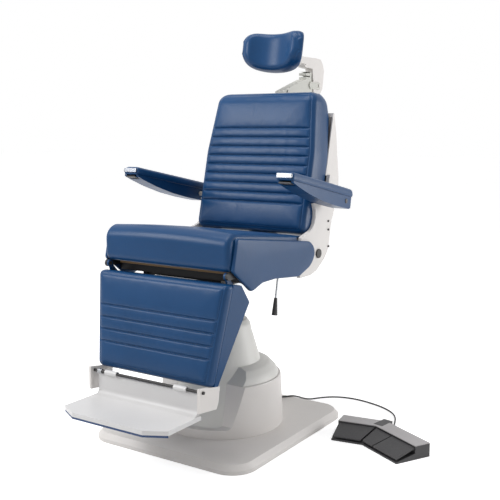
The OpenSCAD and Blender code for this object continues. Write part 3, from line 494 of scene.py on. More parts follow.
def arc(centre: Pair, radii: Pair, start: float, end: float) -> np.ndarray:
    """Points along a part of an ellipse, between two angles in degrees."""
    turn = np.radians(np.linspace(start, end, ARC_POINTS))
    return np.array(centre) + np.array(radii) * np.column_stack([np.cos(turn), np.sin(turn)])


def rolls(
    values: np.ndarray, low: float, high: float, low_roll: Pair, high_roll: Pair
) -> np.ndarray:
    """How far a surface falls at two rounded ends, each given as its reach and drop."""
    return round_over(high - values, *high_roll) + round_over(values - low, *low_roll)


def lengths(line: np.ndarray) -> np.ndarray:
    """How far along a line each of its points lies."""
    return np.concatenate([[0], np.cumsum(np.linalg.norm(np.diff(line, axis=0), axis=1))])


def along(line: np.ndarray, reach: np.ndarray, marks: np.ndarray) -> np.ndarray:
    """The places at some marks along a line whose points lie a known way along it."""
    return np.stack([np.interp(marks, reach, values) for values in line.T], axis=1)


def even_steps(corners: np.ndarray, count: int) -> np.ndarray:
    """Steps evenly round a closed outline.

    Args:
        corners: The outline's corners.
        count: How many steps.

    Returns:
        The outline's points.
    """
    closed = np.vstack([corners, corners[0]])
    reach = lengths(closed)
    return along(closed, reach, np.linspace(0, reach[-1], count + 1)[:-1])


def smooth_route(points: np.ndarray, steps: int) -> np.ndarray:
    """Draws one smooth line through points.

    Args:
        points: The points to pass through.
        steps: Pieces between two points.

    Returns:
        The line's points.
    """
    padded = np.vstack([2 * points[0] - points[1], points, 2 * points[-1] - points[-2]])
    line = []
    for p, q, r, s in zip(padded, padded[1:], padded[2:], padded[3:]):
        for t in np.arange(steps) / steps:
            square, cube = 2 * p - 5 * q + 4 * r - s, 3 * q - p - 3 * r + s
            line.append(q + ((r - p) * t + square * t**2 + cube * t**3) / 2)
    return np.array([*line, points[-1]])


def tube_rings(line: np.ndarray, radius: float, sides: int) -> np.ndarray:
    """Places rings of points square to a line.

    Args:
        line: The centre line.
        radius: The rings' radius.
        sides: Points in a ring.

    Returns:
        Rings, points and coordinates.
    """
    ways = np.gradient(line, axis=0)
    ways /= np.linalg.norm(ways, axis=1)[:, None]
    across = np.cross(ways[0], (0.3, 0.2, 0.93))
    turn = angles(sides)[:, None]
    rings = []
    for spot, way in zip(line, ways):
        across = across - way * across.dot(way)
        across /= np.linalg.norm(across)
        up = np.cross(way, across)
        rings.append(spot + radius * (np.cos(turn) * across + np.sin(turn) * up))
    return np.array(rings)


def lookup(values: np.ndarray, table: Sequence[Pair]) -> np.ndarray:
    """Reads a table of pairs between its rows, eased so that it has no kinks.

    Args:
        values: Where to read it.
        table: Its rows, each a place and a result.

    Returns:
        The eased results.
    """
    samples, ease = 400, 20
    spots, results = np.array(table).T
    fine = np.linspace(spots[0], spots[-1], samples)
    line = np.pad(np.interp(fine, spots, results), ease, mode="edge")
    kernel = np.hanning(2 * ease + 1)
    return np.interp(values, fine, np.convolve(line, kernel / kernel.sum(), mode="valid"))


def leaning(origin: Spot, lean: float) -> Curve:
    """Gives the places in the chair, in metres, of a leaning frame's points in millimetres.

    Args:
        origin: The frame's origin in millimetres.
        lean: How far it leans back, in degrees.

    Returns:
        A function that places points.
    """
    turn = np.array(Matrix.Rotation(math.radians(-lean), 3, "X"))
    shift = np.array(Vector(origin) * MM)
    return lambda points: points * MM @ turn.T + shift


def loop_of(grid: np.ndarray) -> np.ndarray:
    """The entries round the border of a grid, in order and each one once."""
    return np.concatenate([grid[0], grid[1:, -1], grid[-1, -2::-1], grid[-2:0:-1, 0]])


def thinned(values: np.ndarray, pitch: float, kept: Sequence[float]) -> np.ndarray:
    """Picks some of a list's values, a pitch apart, and those that must be kept.

    Args:
        values: The whole list, in order.
        pitch: The least distance between two that are picked.
        kept: Values that are picked in any case.

    Returns:
        The picked values.
    """
    picked = [float(values[0])]
    for value in values[1:]:
        wanted = any(abs(value - spot) < SAME_SPOT for spot in kept)
        if wanted and value - picked[-1] < pitch / 2 and len(picked) > 1:
            picked.pop()
        if wanted or value - picked[-1] >= pitch:
            picked.append(float(value))
    if values[-1] > picked[-1]:
        picked.append(float(values[-1]))
    return np.array(picked)


class MeshKit:
    """Collects points and faces, and makes one piece of them."""

    def __init__(self) -> None:
        """Starts with nothing in it."""
        self.points: list[np.ndarray] = []
        self.faces: list[list[int]] = []
        self.count = 0

    def add_points(self, points: np.ndarray) -> np.ndarray:
        """Adds points, in any layout.

        Args:
            points: Their coordinates.

        Returns:
            Their numbers, in the same layout.
        """
        first = self.count
        self.points.append(np.asarray(points, float).reshape(-1, 3))
        self.count += len(self.points[-1])
        return np.arange(first, self.count).reshape(points.shape[:-1])

    def cover(self, ids: np.ndarray) -> None:
        """Covers a grid of points with faces."""
        quads = np.stack([ids[:-1, :-1], ids[:-1, 1:], ids[1:, 1:], ids[1:, :-1]], axis=2)
        self.faces += quads.reshape(-1, 4).tolist()

    def loft(self, rings: np.ndarray) -> None:
        """Skins a stack of rings and closes its two ends.

        Args:
            rings: Rings, points and coordinates.
        """
        ids = self.add_points(rings)
        self.cover(np.hstack([ids, ids[:, :1]]))
        self.faces += [ids[0, ::-1].tolist(), ids[-1].tolist()]

    def mesh(self, name: str) -> bpy.types.Mesh:
        """Makes a smooth mesh of what was collected.

        Args:
            name: The mesh's name.

        Returns:
            The mesh.
        """
        mesh = bpy.data.meshes.new(name)
        mesh.from_pydata(np.vstack(self.points).tolist(), [], self.faces)
        mesh.update()
        mesh.polygons.foreach_set("use_smooth", [True] * len(mesh.polygons))
        return mesh

    def build(self, name: str, finish: Finish, body: str) -> Piece:
        """Makes the piece and sets it on its body.

        Args:
            name: The piece's name.
            finish: Its finish.
            body: The body that it rides on.

        Returns:
            The piece.
        """
        piece = in_scene(name, self.mesh(name))
        piece.data.materials.append(finish.material())
        LOG.info("made %s", name)
        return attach(piece, body)


def padded(piece: Piece, node: str, fill: float) -> Piece:
    """Hides the solid that a padded cushion stands in for.

    Args:
        piece: The cushion.
        node: The solid that it stands for.
        fill: How full it is; not used.

    Returns:
        The cushion.
    """
    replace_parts(piece, node)
    return piece


@dataclass
class FabricFill:
    """Fills a sewn cover: the cloth between its seams swells under pressure.

    No point rises by more than the cap, in millimetres.
    """

    cap: float
    pressure: float = 6.0
    frames: int = 20
    stiffness: float = 10.0
    slack: float = 0.02
    smoothing: int = 2

    def settings(self) -> dict[str, object]:
        """Lists the cloth's settings.

        Returns:
            Their values by name.
        """
        return {
            "quality": 5, "mass": 0.3, "tension_stiffness": self.stiffness,
            "compression_stiffness": self.stiffness, "shear_stiffness": self.stiffness / 3,
            "bending_stiffness": 0.4, "vertex_group_mass": "sewn", "use_pressure": True,
            "uniform_pressure_force": self.pressure, "shrink_min": -self.slack,
        }

    def run(self, name: str, sheet: np.ndarray, sewn: np.ndarray) -> np.ndarray:
        """Swells a sheet of cover and tells how far each of its points rose.

        Args:
            name: A name for the sheet.
            sheet: Rows, columns and coordinates in metres.
            sewn: True for each point that a seam holds.

        Returns:
            How far each point moved, in millimetres.
        """
        kit = MeshKit()
        kit.cover(kit.add_points(sheet))
        piece = in_scene(name, kit.mesh(name))
        group = piece.vertex_groups.new(name="sewn")
        group.add(np.nonzero(sewn.ravel())[0].tolist(), 1.0, "REPLACE")
        cloth = piece.modifiers.new("fill", "CLOTH")
        for key, value in self.settings().items():
            setattr(cloth.settings, key, value)
        cloth.settings.effector_weights.gravity = 0
        cloth.point_cache.frame_start = 1
        cloth.point_cache.frame_end = self.frames
        for number in range(1, self.frames + 1):
            bpy.context.scene.frame_set(number)
        shaped = piece.evaluated_get(bpy.context.evaluated_depsgraph_get()).to_mesh()
        flat = np.zeros(len(shaped.vertices) * 3)
        shaped.vertices.foreach_get("co", flat)
        travel = np.linalg.norm(flat.reshape(sheet.shape) - sheet, axis=2) / MM
        bpy.data.objects.remove(piece)
        bpy.context.scene.frame_set(1)
        for _ in range(self.smoothing):
            wide = np.pad(travel, 1, mode="edge")
            near = wide[:-2, 1:-1] + wide[2:, 1:-1] + wide[1:-1, :-2] + wide[1:-1, 2:]
            travel = np.where(sewn, 0, travel / 2 + near / 8)
        travel = self.cap * np.tanh(travel / self.cap)
        LOG.info("%s swelled by up to %.1f mm", name, travel.max())
        return travel


@dataclass
class Stitching:
    """A run of thread that dips in and out of the cover, in millimetres."""

    length: float = 3.4
    gap: float = 1.6
    radius: float = 0.35
    sides: int = 5
    marks: tuple[float, ...] = (0, 0.25, 0.75, 1)
    swell: tuple[float, ...] = (0.4, 1, 1, 0.4)

    def run(self, kit: MeshKit, line: np.ndarray, out: np.ndarray) -> None:
        """Adds the stitches along a line.

        Args:
            kit: The mesh to add them to.
            line: The line's points in metres.
            out: The direction away from the cover.
        """
        reach = lengths(line)
        turn = angles(self.sides)[:, None]
        grow = np.array(self.swell)[:, None, None] * self.radius * MM
        stitch = self.length * MM
        for spot in np.arange(0, reach[-1] - stitch, stitch + self.gap * MM):
            centres = along(line, reach, spot + np.array(self.marks) * stitch)
            way = centres[-1] - centres[0]
            side = np.cross(way / max(float(np.linalg.norm(way)), TINY), out)
            ring = np.cos(turn) * side + np.sin(turn) * out
            kit.loft(centres[:, None, :] + ring[None, :, :] * grow)


@dataclass
class BoxedCushion:
    """A sewn cushion: a crowned face with channels, a boxing band and a flat back.

    Its own frame has X across, Y from the face to the back and Z along its length.
    All of its sizes are in millimetres. A cushion with a seam has stitches inside it.
    """

    name: str
    node: str
    body: str
    low: float
    high: float
    half: Curve
    face: Curve
    back: Curve
    place: Curve
    fill: FabricFill
    edge: float
    edge_drop: float
    crown: float
    fullness: float = 0.75
    channels: Sequence[float] = ()
    channel_depth: float = 0.0
    seam: float = 0.0
    seam_depth: float = 0.0
    pitch: float = 5.0
    rear_edge: float = 5.0
    pillow: float = 0.0
    wall_bulge: float = 2.0
    edge_steps: int = 6

    def placed(self, grid: np.ndarray) -> np.ndarray:
        """Takes points of the cushion's frame, in any layout, to the chair."""
        return self.place(grid.reshape(-1, 3)).reshape(grid.shape)

    def rows(self) -> np.ndarray:
        """Chooses where along the length the face has a row of points.

        Returns:
            The rows' places, closer at the ends and the channels.
        """
        count = int((self.high - self.low) / self.pitch)
        ends = END_REACH * quarter(self.edge_steps)
        rows = [*np.linspace(self.low, self.high, count), *(self.low + ends), *(self.high - ends)]
        for spot in self.channels:
            rows = [row for row in rows if abs(row - spot) > CHANNEL_ROOM]
            rows += [spot + step for step in CHANNEL_STEPS]
        rows.sort()
        kept = [rows[0]]
        for row in rows[1:]:
            if row - kept[-1] > LEAST_STEP:
                kept.append(row)
        kept[-1] = self.high
        return np.array(kept)

    def columns(self, half: float) -> np.ndarray:
        """The places across, as shares of the half width.

        Args:
            half: The cushion's largest half width.

        Returns:
            Shares from -1 to 1.
        """
        rim = [*(self.edge * quarter(self.edge_steps))]
        rim += [self.seam + step for step in SEAM_STEPS if self.seam]
        side = np.array(sorted(spot for spot in rim if spot >= 0))
        inner = half - side[-1] - self.pitch
        plain = np.linspace(-inner, inner, max(LEAST_COLUMNS, int(2 * inner / self.pitch)))
        return np.unique(np.round(np.concatenate([side - half, plain, half - side]), 3)) / half

    def make(self) -> Piece:
        """Builds the cushion and its stitches.

        Returns:
            The cushion.
        """
        rows = self.rows()
        grid = self.face_grid(rows, self.columns(float(self.half(rows).max())))
        kit = MeshKit()
        ids = kit.add_points(self.placed(grid))
        kit.cover(ids)
        self.add_band(kit, ids, grid)
        if self.seam:
            self.sew(grid, rows)
        return padded(kit.build(self.name, VINYL, self.body), self.node, self.fullness)

    def face_grid(self, rows: np.ndarray, columns: np.ndarray) -> np.ndarray:
        """Shapes the face: its rounded rim, crown, channels and seam, and its filling.

        Args:
            rows: The rows' places along the length.
            columns: The columns' shares of the half width.

        Returns:
            The face's points in the cushion's frame.
        """
        half = self.half(rows)[:, None]
        x = half * columns
        z = np.repeat(rows[:, None], len(columns), axis=1)
        distance = self.to_rim(x, z)
        inside = np.clip((distance - self.seam) / SEAM_EASE, 0, 1)
        share = np.clip(distance / (0.5 * float(half.max())), 0, 1)
        depth = self.face(rows)[:, None] + round_over(half - abs(x), self.edge, self.edge_drop)
        depth = depth - self.crown * (1 - (1 - share) ** 2)
        groove = np.zeros_like(depth)
        for spot in self.channels:
            near = np.clip(1 - abs(z - spot) / CHANNEL_REACH, 0, 1)
            groove = np.maximum(groove, near**CHANNEL_POWER)
        depth = depth + groove * self.channel_depth * inside
        depth = depth - self.pillow * self.swell(rows)[:, None] * inside
        if self.seam:
            near = np.clip(1 - abs(distance - self.seam) / SEAM_REACH, 0, 1)
            sewn = to_ends(z, self.low, self.high) > SEAM_ENDS
            depth = depth + self.seam_depth * near * sewn
        grid = np.stack([x, depth, z], axis=2)
        grid[..., 1] -= inside * self.filled(rows, columns, grid, distance)
        return grid

    def sew(self, grid: np.ndarray, rows: np.ndarray) -> None:
        """Runs a line of stitches inside the seam, round the face.

        Args:
            grid: The face's points in the cushion's frame.
            rows: Its rows.
        """
        inset = self.seam + THREAD_INSET
        kept = np.nonzero(to_ends(rows, self.low, self.high) > inset)[0]
        lines = []
        for side in Side:
            gaps = abs(side.value * grid[..., 0] - (abs(grid[:, -1:, 0]) - inset))
            lines.append(grid[kept, gaps.argmin(axis=1)[kept]])
        for line in grid[kept[[0, -1]]]:
            lines.append(line[abs(line[:, 0]) < abs(line[-1, 0]) - inset])
        out = np.subtract(*self.place(np.array([[0.0, -1.0, 0.0], [0.0, 0.0, 0.0]])))
        kit = MeshKit()
        for line in lines:
            Stitching().run(kit, self.place(line), out / np.linalg.norm(out))
        kit.build(f"{self.name}_thread", THREAD, self.body)

    def filled(
        self, rows: np.ndarray, columns: np.ndarray, grid: np.ndarray, distance: np.ndarray
    ) -> np.ndarray:
        """Swells a coarse sheet of the face as cloth and reads it all over the face.

        Args:
            rows: The face's rows.
            columns: Its columns, as shares.
            grid: Its points in the cushion's frame.
            distance: Each point's distance to the outline.

        Returns:
            How far each point rises, in millimetres.
        """
        few_rows = thinned(rows, SHEET_ROWS, self.channels)
        few_columns = thinned(columns * 1000, SHEET_COLUMNS, ()) / 1000
        pick = np.ix_(np.searchsorted(rows, few_rows), np.searchsorted(columns, few_columns))
        held = distance[pick] < self.seam + 1
        for spot in self.channels:
            held |= (abs(few_rows - spot) < SAME_SPOT)[:, None]
        rise = self.fill.run(f"{self.name}_sheet", self.placed(grid[pick]), held)
        by_row = np.array([np.interp(columns, few_columns, line) for line in rise])
        return np.array([np.interp(rows, few_rows, line) for line in by_row.T]).T

    def swell(self, rows: np.ndarray) -> np.ndarray:
        """How full the cover stands between two channels.

        Args:
            rows: Places along the length.

        Returns:
            Shares from 0 at a channel to 1.
        """
        marks = np.array([self.low, *sorted(self.channels), self.high])
        slot = np.clip(np.searchsorted(marks, rows, side="right") - 1, 0, len(marks) - 2)
        share = (rows - marks[slot]) / (marks[slot + 1] - marks[slot])
        return np.sqrt(np.clip(np.sin(math.pi * share), 0, 1))

    @staticmethod
    def to_rim(x: np.ndarray, z: np.ndarray) -> np.ndarray:
        """Measures from each point of the face to its outline.

        Args:
            x: The points' places across.
            z: Their places along the length.

        Returns:
            The distances.
        """
        face = np.stack([x, z], axis=2)
        rim = np.concatenate([face[0], face[:, -1], face[-1, ::-1], face[::-1, 0]])
        spots = face.reshape(-1, 2)
        nearest = np.full(len(spots), np.inf)
        for start, way in zip(rim, np.diff(rim, axis=0)):
            share = np.clip((spots - start) @ way / max(way @ way, TINY), 0, 1)[:, None]
            nearest = np.minimum(nearest, ((spots - start - share * way) ** 2).sum(axis=1))
        return np.sqrt(nearest).reshape(x.shape)

    def rear_grid(self, grid: np.ndarray) -> np.ndarray:
        """Shapes the back, a little smaller than the face.

        Args:
            grid: The face's points in the cushion's frame.

        Returns:
            The back's points in the cushion's frame.
        """
        middle = (self.low + self.high) / 2
        soft = self.rear_edge
        rear = grid.copy()
        rear[..., 0] *= 1 - soft / np.maximum(abs(grid[:, -1:, 0]), 3 * soft)
        rear[..., 2] = middle + (grid[..., 2] - middle) * (1 - 2 * soft / (self.high - self.low))
        rear[..., 1] = self.back(rear[..., 2])
        return rear

    def band_rings(self, rim: np.ndarray, border: np.ndarray) -> list[np.ndarray]:
        """Shapes the boxing band between the face and the back.

        Args:
            rim: The face's rim in the cushion's frame.
            border: The back's border in the cushion's frame.

        Returns:
            The band's rings from the face to the back.
        """
        outward = rim * (1, 0, 1) - (0, 0, (self.low + self.high) / 2)
        tangent = np.roll(rim, -1, axis=0) - np.roll(rim, 1, axis=0)
        normal = np.stack([tangent[:, 2], 0 * tangent[:, 2], -tangent[:, 0]], axis=1)
        normal /= np.maximum(np.linalg.norm(normal, axis=1), TINY)[:, None]
        normal *= np.sign((normal * outward).sum(axis=1))[:, None]
        room = np.maximum(border[:, 1] - rim[:, 1], LEAST_BAND)
        soft = min(self.rear_edge, float(room.min()) * MOST_BEND)
        rings = []
        for share in BAND_SHARES:
            ring = rim + normal * self.wall_bulge * math.sin(math.pi * share)
            ring[:, 1] += (room - soft) * share
            rings.append(ring)
        for share in BEND_SHARES:
            turn = share * math.pi / 2
            bend = (1 - math.cos(turn), math.sin(turn), 1 - math.cos(turn))
            rings.append(ring + (border - ring) * bend)
        return rings

    def add_band(self, kit: MeshKit, ids: np.ndarray, grid: np.ndarray) -> None:
        """Adds the boxing band behind the face's rim, and the back.

        Args:
            kit: The mesh so far.
            ids: The numbers of the face's points.
            grid: Their places in the cushion's frame.
        """
        rear = self.rear_grid(grid)
        rings = [kit.add_points(self.place(ring))
                 for ring in self.band_rings(loop_of(grid), loop_of(rear))]
        rear_ids = kit.add_points(self.placed(rear))
        band = np.stack([loop_of(ids), *rings, loop_of(rear_ids)], axis=1)
        kit.cover(np.vstack([band, band[:1]]))
        kit.cover(rear_ids[::-1])


@dataclass(frozen=True)
class Lamp:
    """A soft square lamp: its place and aim, its side in metres and its power."""

    name: str
    spot: Spot
    aim: Spot
    size: float
    power: float

    def hang(self) -> None:
        """Hangs the lamp."""
        data = bpy.data.lights.new(self.name, "AREA")
        data.size = self.size
        data.energy = self.power
        lamp = in_scene(self.name, data)
        lamp.location = self.spot
        way = Vector(self.aim) - Vector(self.spot)
        lamp.rotation_euler = way.to_track_quat("-Z", "Y").to_euler()


@dataclass
class Studio:
    """The camera, the pale floor and the soft lamps."""

    eye: Spot = (1.6857, -2.3796, 1.0818)
    look: Spot = (-0.5431, 0.8271, -0.1445)
    lens: float = 59.1
    sensor: float = 36.0
    far: float = 100.0
    floor_half: float = 30.0
    floor_grey: float = 0.86
    floor_glow: float = 0.6
    world_level: float = 0.44
    lamps: tuple[Lamp, ...] = (
        Lamp("top_lamp", (-0.3, -0.5, 3.6), (0, 0, 0.7), 1.8, 48),
        Lamp("left_lamp", (-2.0, -2.5, 2.5), (0, 0, 0.9), 1.5, 62),
        Lamp("right_lamp", (2.7, 2.3, 1.1), (0, 0, 0.7), 1.5, 50),
    )

    def camera(self) -> None:
        """Sets up the camera at the photograph's viewing angle."""
        data = bpy.data.cameras.new("camera")
        data.lens = self.lens
        data.sensor_width = self.sensor
        data.clip_end = self.far
        camera = in_scene("camera", data)
        camera.location = self.eye
        camera.rotation_euler = Vector(self.look).to_track_quat("-Z", "Y").to_euler()
        bpy.context.scene.camera = camera

    @staticmethod
    def seen(tree: bpy.types.NodeTree) -> Socket:
        """Tells rays that see the background: from the camera, or off gloss or glass.

        Args:
            tree: The nodes to add it to.

        Returns:
            One for such rays.
        """
        path = tree.nodes.new("ShaderNodeLightPath")
        total = path.outputs["Is Camera Ray"]
        for name in ("Is Glossy Ray", "Is Transmission Ray"):
            step = tree.nodes.new("ShaderNodeMath")
            step.operation = "MAXIMUM"
            tree.links.new(total, step.inputs[0])
            tree.links.new(path.outputs[name], step.inputs[1])
            total = step.outputs[0]
        return total

    def floor(self) -> None:
        """Lays the pale floor, which keeps the chair's shadow."""
        kit = MeshKit()
        corners = np.array([[(-1, -1, 0), (1, -1, 0)], [(-1, 1, 0), (1, 1, 0)]])
        kit.cover(kit.add_points(corners * self.floor_half))
        sheet = NodeSheet("floor")
        grey = (self.floor_grey,) * 3
        sheet.plain(
            Base_Color=(*grey, 1), Roughness=0.9, Specular_IOR_Level=0.1,
            Emission_Color=(1, 1, 1, 1),
        )
        level = sheet.add("ShaderNodeMath", operation="MULTIPLY")
        level.inputs[1].default_value = self.floor_glow
        sheet.link(self.seen(sheet.tree), level.inputs[0])
        sheet.link(level.outputs[0], sheet.shader["Emission Strength"])
        floor = in_scene("floor", kit.mesh("floor"))
        floor.data.materials.append(sheet.material)
        floor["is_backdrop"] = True

    def world(self) -> None:
        """Sets the even light of the room, and white where it is seen."""
        world = bpy.data.worlds.new("room")
        bpy.context.scene.world = world
        world.use_nodes = True
        tree = world.node_tree
        level = tree.nodes.new("ShaderNodeMapRange")
        level.inputs["To Min"].default_value = self.world_level
        level.inputs["To Max"].default_value = 1.0
        tree.links.new(self.seen(tree), level.inputs["Value"])
        backdrop = tree.nodes["Background"].inputs
        backdrop["Color"].default_value = (1, 1, 1, 1)
        tree.links.new(level.outputs["Result"], backdrop["Strength"])

    def build(self) -> None:
        """Sets up the floor, the room and the lamps."""
        self.floor()
        self.world()
        for lamp in self.lamps:
            lamp.hang()
        bpy.context.scene.view_settings.view_transform = "Standard"


@dataclass
class FootCord:
    """The cord from the housing's rear to the foot control, one smooth route."""

    body: str = "base"
    radius: float = 3.0
    length: float = 0.848
    sides: int = 14
    steps: int = 8
    route: tuple[Spot, ...] = (
        (0, 248.4, 48), (0, 258, 48), (2, 272, 45), (10, 285, 40), (28, 296, 35.5),
        (56, 308, 33.3), (76, 330, 33.2), (93, 354, 32), (107, 376, 25), (119, 400, 14),
        (132, 430, 5), (150, 462, 3), (180, 497, 3), (214, 519, 3), (250, 530, 3),
        (290, 533, 3), (331, 528, 3), (385, 514, 3), (436, 491, 3), (478, 459, 3),
        (506, 419, 3), (524, 375, 3), (538, 334, 4), (546, 306, 10), (549, 295, 15),
        (546.2, 279, 16),
    )

    def build(self) -> Piece:
        """Returns:
            The cord.
        """
        line = smooth_route(np.array(self.route) * MM, self.steps)
        LOG.info("cord measures %.4f m", lengths(line)[-1])
        kit = MeshKit()
        kit.loft(tube_rings(line, self.radius * MM, self.sides))
        cord = kit.build("foot_cord_lead", BLACK_RUBBER, self.body)
        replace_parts(cord, "foot_cord")
        return cord


@dataclass
class TraySpring:
    """The coil spring that snaps the tray against its stop."""

    body: str
    centre: Pair = (-428, 283)
    start: float = -204.0
    coil: float = 6.95
    wire: float = 1.1
    gap: float = 0.8
    coils: int = 6
    steps: int = 24
    sides: int = 10

    def build(self) -> Piece:
        """Winds the spring.

        Returns:
            The spring.
        """
        turns = np.linspace(0, self.coils, self.coils * self.steps + 1)
        angle = 2 * math.pi * turns
        x = self.start + (2 * self.wire + self.gap) * turns
        y = self.centre[0] + self.coil * np.cos(angle)
        z = self.centre[1] + self.coil * np.sin(angle)
        kit = MeshKit()
        kit.loft(tube_rings(np.stack([x, y, z], axis=1) * MM, self.wire * MM, self.sides))
        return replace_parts(kit.build("tray_spring_coil", BRIGHT_STEEL, self.body), "tray_spring")


@dataclass
class BackUpholstery:
    """The back cushion with its sewn channels, on the leaning back.

    Each corner and roll is a pair: how far in it starts and how far it falls.
    """

    pivot: Spot = (0, 254, 633)
    lean: float = 13.8
    half: float = 240.0
    low: float = 56.0
    high: float = 590.0
    front: float = -104.0
    rear: float = 12.7
    first: float = 108.0
    pitch: float = 35.0
    count: int = 9
    shoulders: tuple[Pair, ...] = ((0, 1), (0.56, 1), (0.74, 0.955), (0.89, 0.92), (1, 0.895))
    top_corner: Pair = (40, 30)
    low_corner: Pair = (22, 14)
    top_roll: Pair = (50, 46)
    low_roll: Pair = (34, 28)
    thin_from: float = 0.85
    thinning: float = 187.2

    def share(self, w: np.ndarray) -> np.ndarray:
        """A height as a share of the cushion's own."""
        return (w - self.low) / (self.high - self.low)

    def half_at(self, w: np.ndarray) -> np.ndarray:
        """Half the width at a height, with the shoulders drawn in and rounded corners."""
        body = self.half * lookup(self.share(w), self.shoulders)
        return body - rolls(w, self.low, self.high, self.low_corner, self.top_corner)

    def face_at(self, w: np.ndarray) -> np.ndarray:
        """The face's depth at a height."""
        return self.front + rolls(w, self.low, self.high, self.low_roll, self.top_roll)

    def back_at(self, w: np.ndarray) -> np.ndarray:
        """The back's depth at a height, drawn forward at the top."""
        return self.rear - np.maximum(0, self.share(w) - self.thin_from) * self.thinning

    def build(self) -> Piece:
        """Makes the cushion and its stitching.

        Returns:
            The cushion.
        """
        return BoxedCushion(
            "back_cushion_cover", "back_cushion", "back", self.low, self.high, self.half_at,
            self.face_at, self.back_at, leaning(self.pivot, self.lean), FabricFill(2.6),
            edge=20, edge_drop=20, crown=7, channel_depth=4.5, seam=15, seam_depth=2.2,
            channels=[self.low + self.first + k * self.pitch for k in range(self.count)],
            pillow=2.5, wall_bulge=3,
        ).make()


@dataclass
class LegUpholstery:
    """The leg rest's cushion, in the leaning frame of the leg rest, below its pivot."""

    pivot: Spot = (0, -318, 631)
    lean: float = 9.9
    top: float = 24.0
    length: float = 349.0
    half_top: float = 272.0
    half_foot: float = 232.0
    front: float = 25.7
    rear: float = 8.0
    first: float = 139.0
    pitch: float = 40.7
    count: int = 4
    corner: Pair = (16, 12)
    roll: Pair = (20, 16)

    def half_at(self, z: np.ndarray) -> np.ndarray:
        """Half the width at a height."""
        body = self.half_top + (self.half_top - self.half_foot) * z / self.length
        return body - rolls(z, -self.length, -self.top, self.corner, self.corner)

    def face_at(self, z: np.ndarray) -> np.ndarray:
        """The face's depth at a height."""
        return round_over(to_ends(z, -self.length, -self.top), *self.roll) - self.front

    def build(self) -> Piece:
        """Makes the cushion and its stitching.

        Returns:
            The cushion.
        """
        return BoxedCushion(
            "leg_cushion_cover", "leg_cushion", "leg", -self.length, -self.top, self.half_at,
            self.face_at, lambda z: np.full_like(z, self.rear),
            leaning(self.pivot, self.lean), FabricFill(2.2),
            edge=15, edge_drop=15, crown=5, channel_depth=4, seam=12, seam_depth=1.8,
            channels=[-(self.first + k * self.pitch) for k in range(self.count)],
            pillow=2, wall_bulge=1,
        ).make()


@dataclass
class HeadUpholstery:
    """The curved headrest pad, hollow towards the patient."""

    centre: Spot = (0, 385, 1374)
    lean: float = 11.0
    curve: float = 150.0
    height: float = 142.0
    thick: float = 56.0
    reach: float = 53.0
    lift: float = 14.0
    taper: float = 0.12
    thinning: float = 0.25
    blunt: float = 7.0
    blunt_share: float = 1.02
    blunt_least: float = 0.1
    roll: Pair = (20, 14)

    @property
    def arc_end(self) -> float:
        """Half the pad's length along its curve."""
        return math.radians(self.reach) * self.curve

    def share(self, arc_at: np.ndarray) -> np.ndarray:
        """A place along the curve as a share of the way to its end."""
        return abs(arc_at) / self.arc_end

    def half_at(self, arc_at: np.ndarray) -> np.ndarray:
        """Half the pad's height along its curve, narrower and blunt at the ends.

        Args:
            arc_at: Places along the curve.

        Returns:
            Half the height at each.
        """
        ends = 1 - np.minimum(1, self.share(arc_at) / self.blunt_share) ** self.blunt
        narrow = 1 - self.taper * self.share(arc_at) ** 2
        return self.height / 2 * narrow * np.sqrt(np.maximum(self.blunt_least, ends))

    def thin_at(self, arc_at: np.ndarray) -> np.ndarray:
        """Half the thickness along the curve."""
        return self.thick / 2 * (1 - self.thinning * np.clip(self.share(arc_at), 0, 1) ** 2)

    def face_at(self, arc_at: np.ndarray) -> np.ndarray:
        """The face's depth along the curve."""
        return round_over(self.arc_end - abs(arc_at), *self.roll) - self.thin_at(arc_at)

    def bend(self, points: np.ndarray) -> np.ndarray:
        """Bends the flat pad round the head and leans it back.

        Args:
            points: Points with the pad's height in X, depth in Y and curve in Z.

        Returns:
            Their places in the chair.
        """
        up, depth, arc_at = points.T
        angle = arc_at / self.curve
        radius = self.curve + depth
        x, y = radius * np.sin(angle), radius * np.cos(angle) - self.curve
        local = np.stack([x, y, up + self.lift * self.share(arc_at) ** 2], axis=1)
        return leaning(self.centre, self.lean)(local)

    def build(self) -> Piece:
        """Makes the pad.

        Returns:
            The pad.
        """
        return BoxedCushion(
            "head_pad_cover", "head_pad", "head_rest", -self.arc_end, self.arc_end,
            self.half_at, self.face_at, self.thin_at, self.bend, FabricFill(1.5),
            edge=18, edge_drop=16, crown=3, fullness=0.85, pitch=4, rear_edge=8,
        ).make()


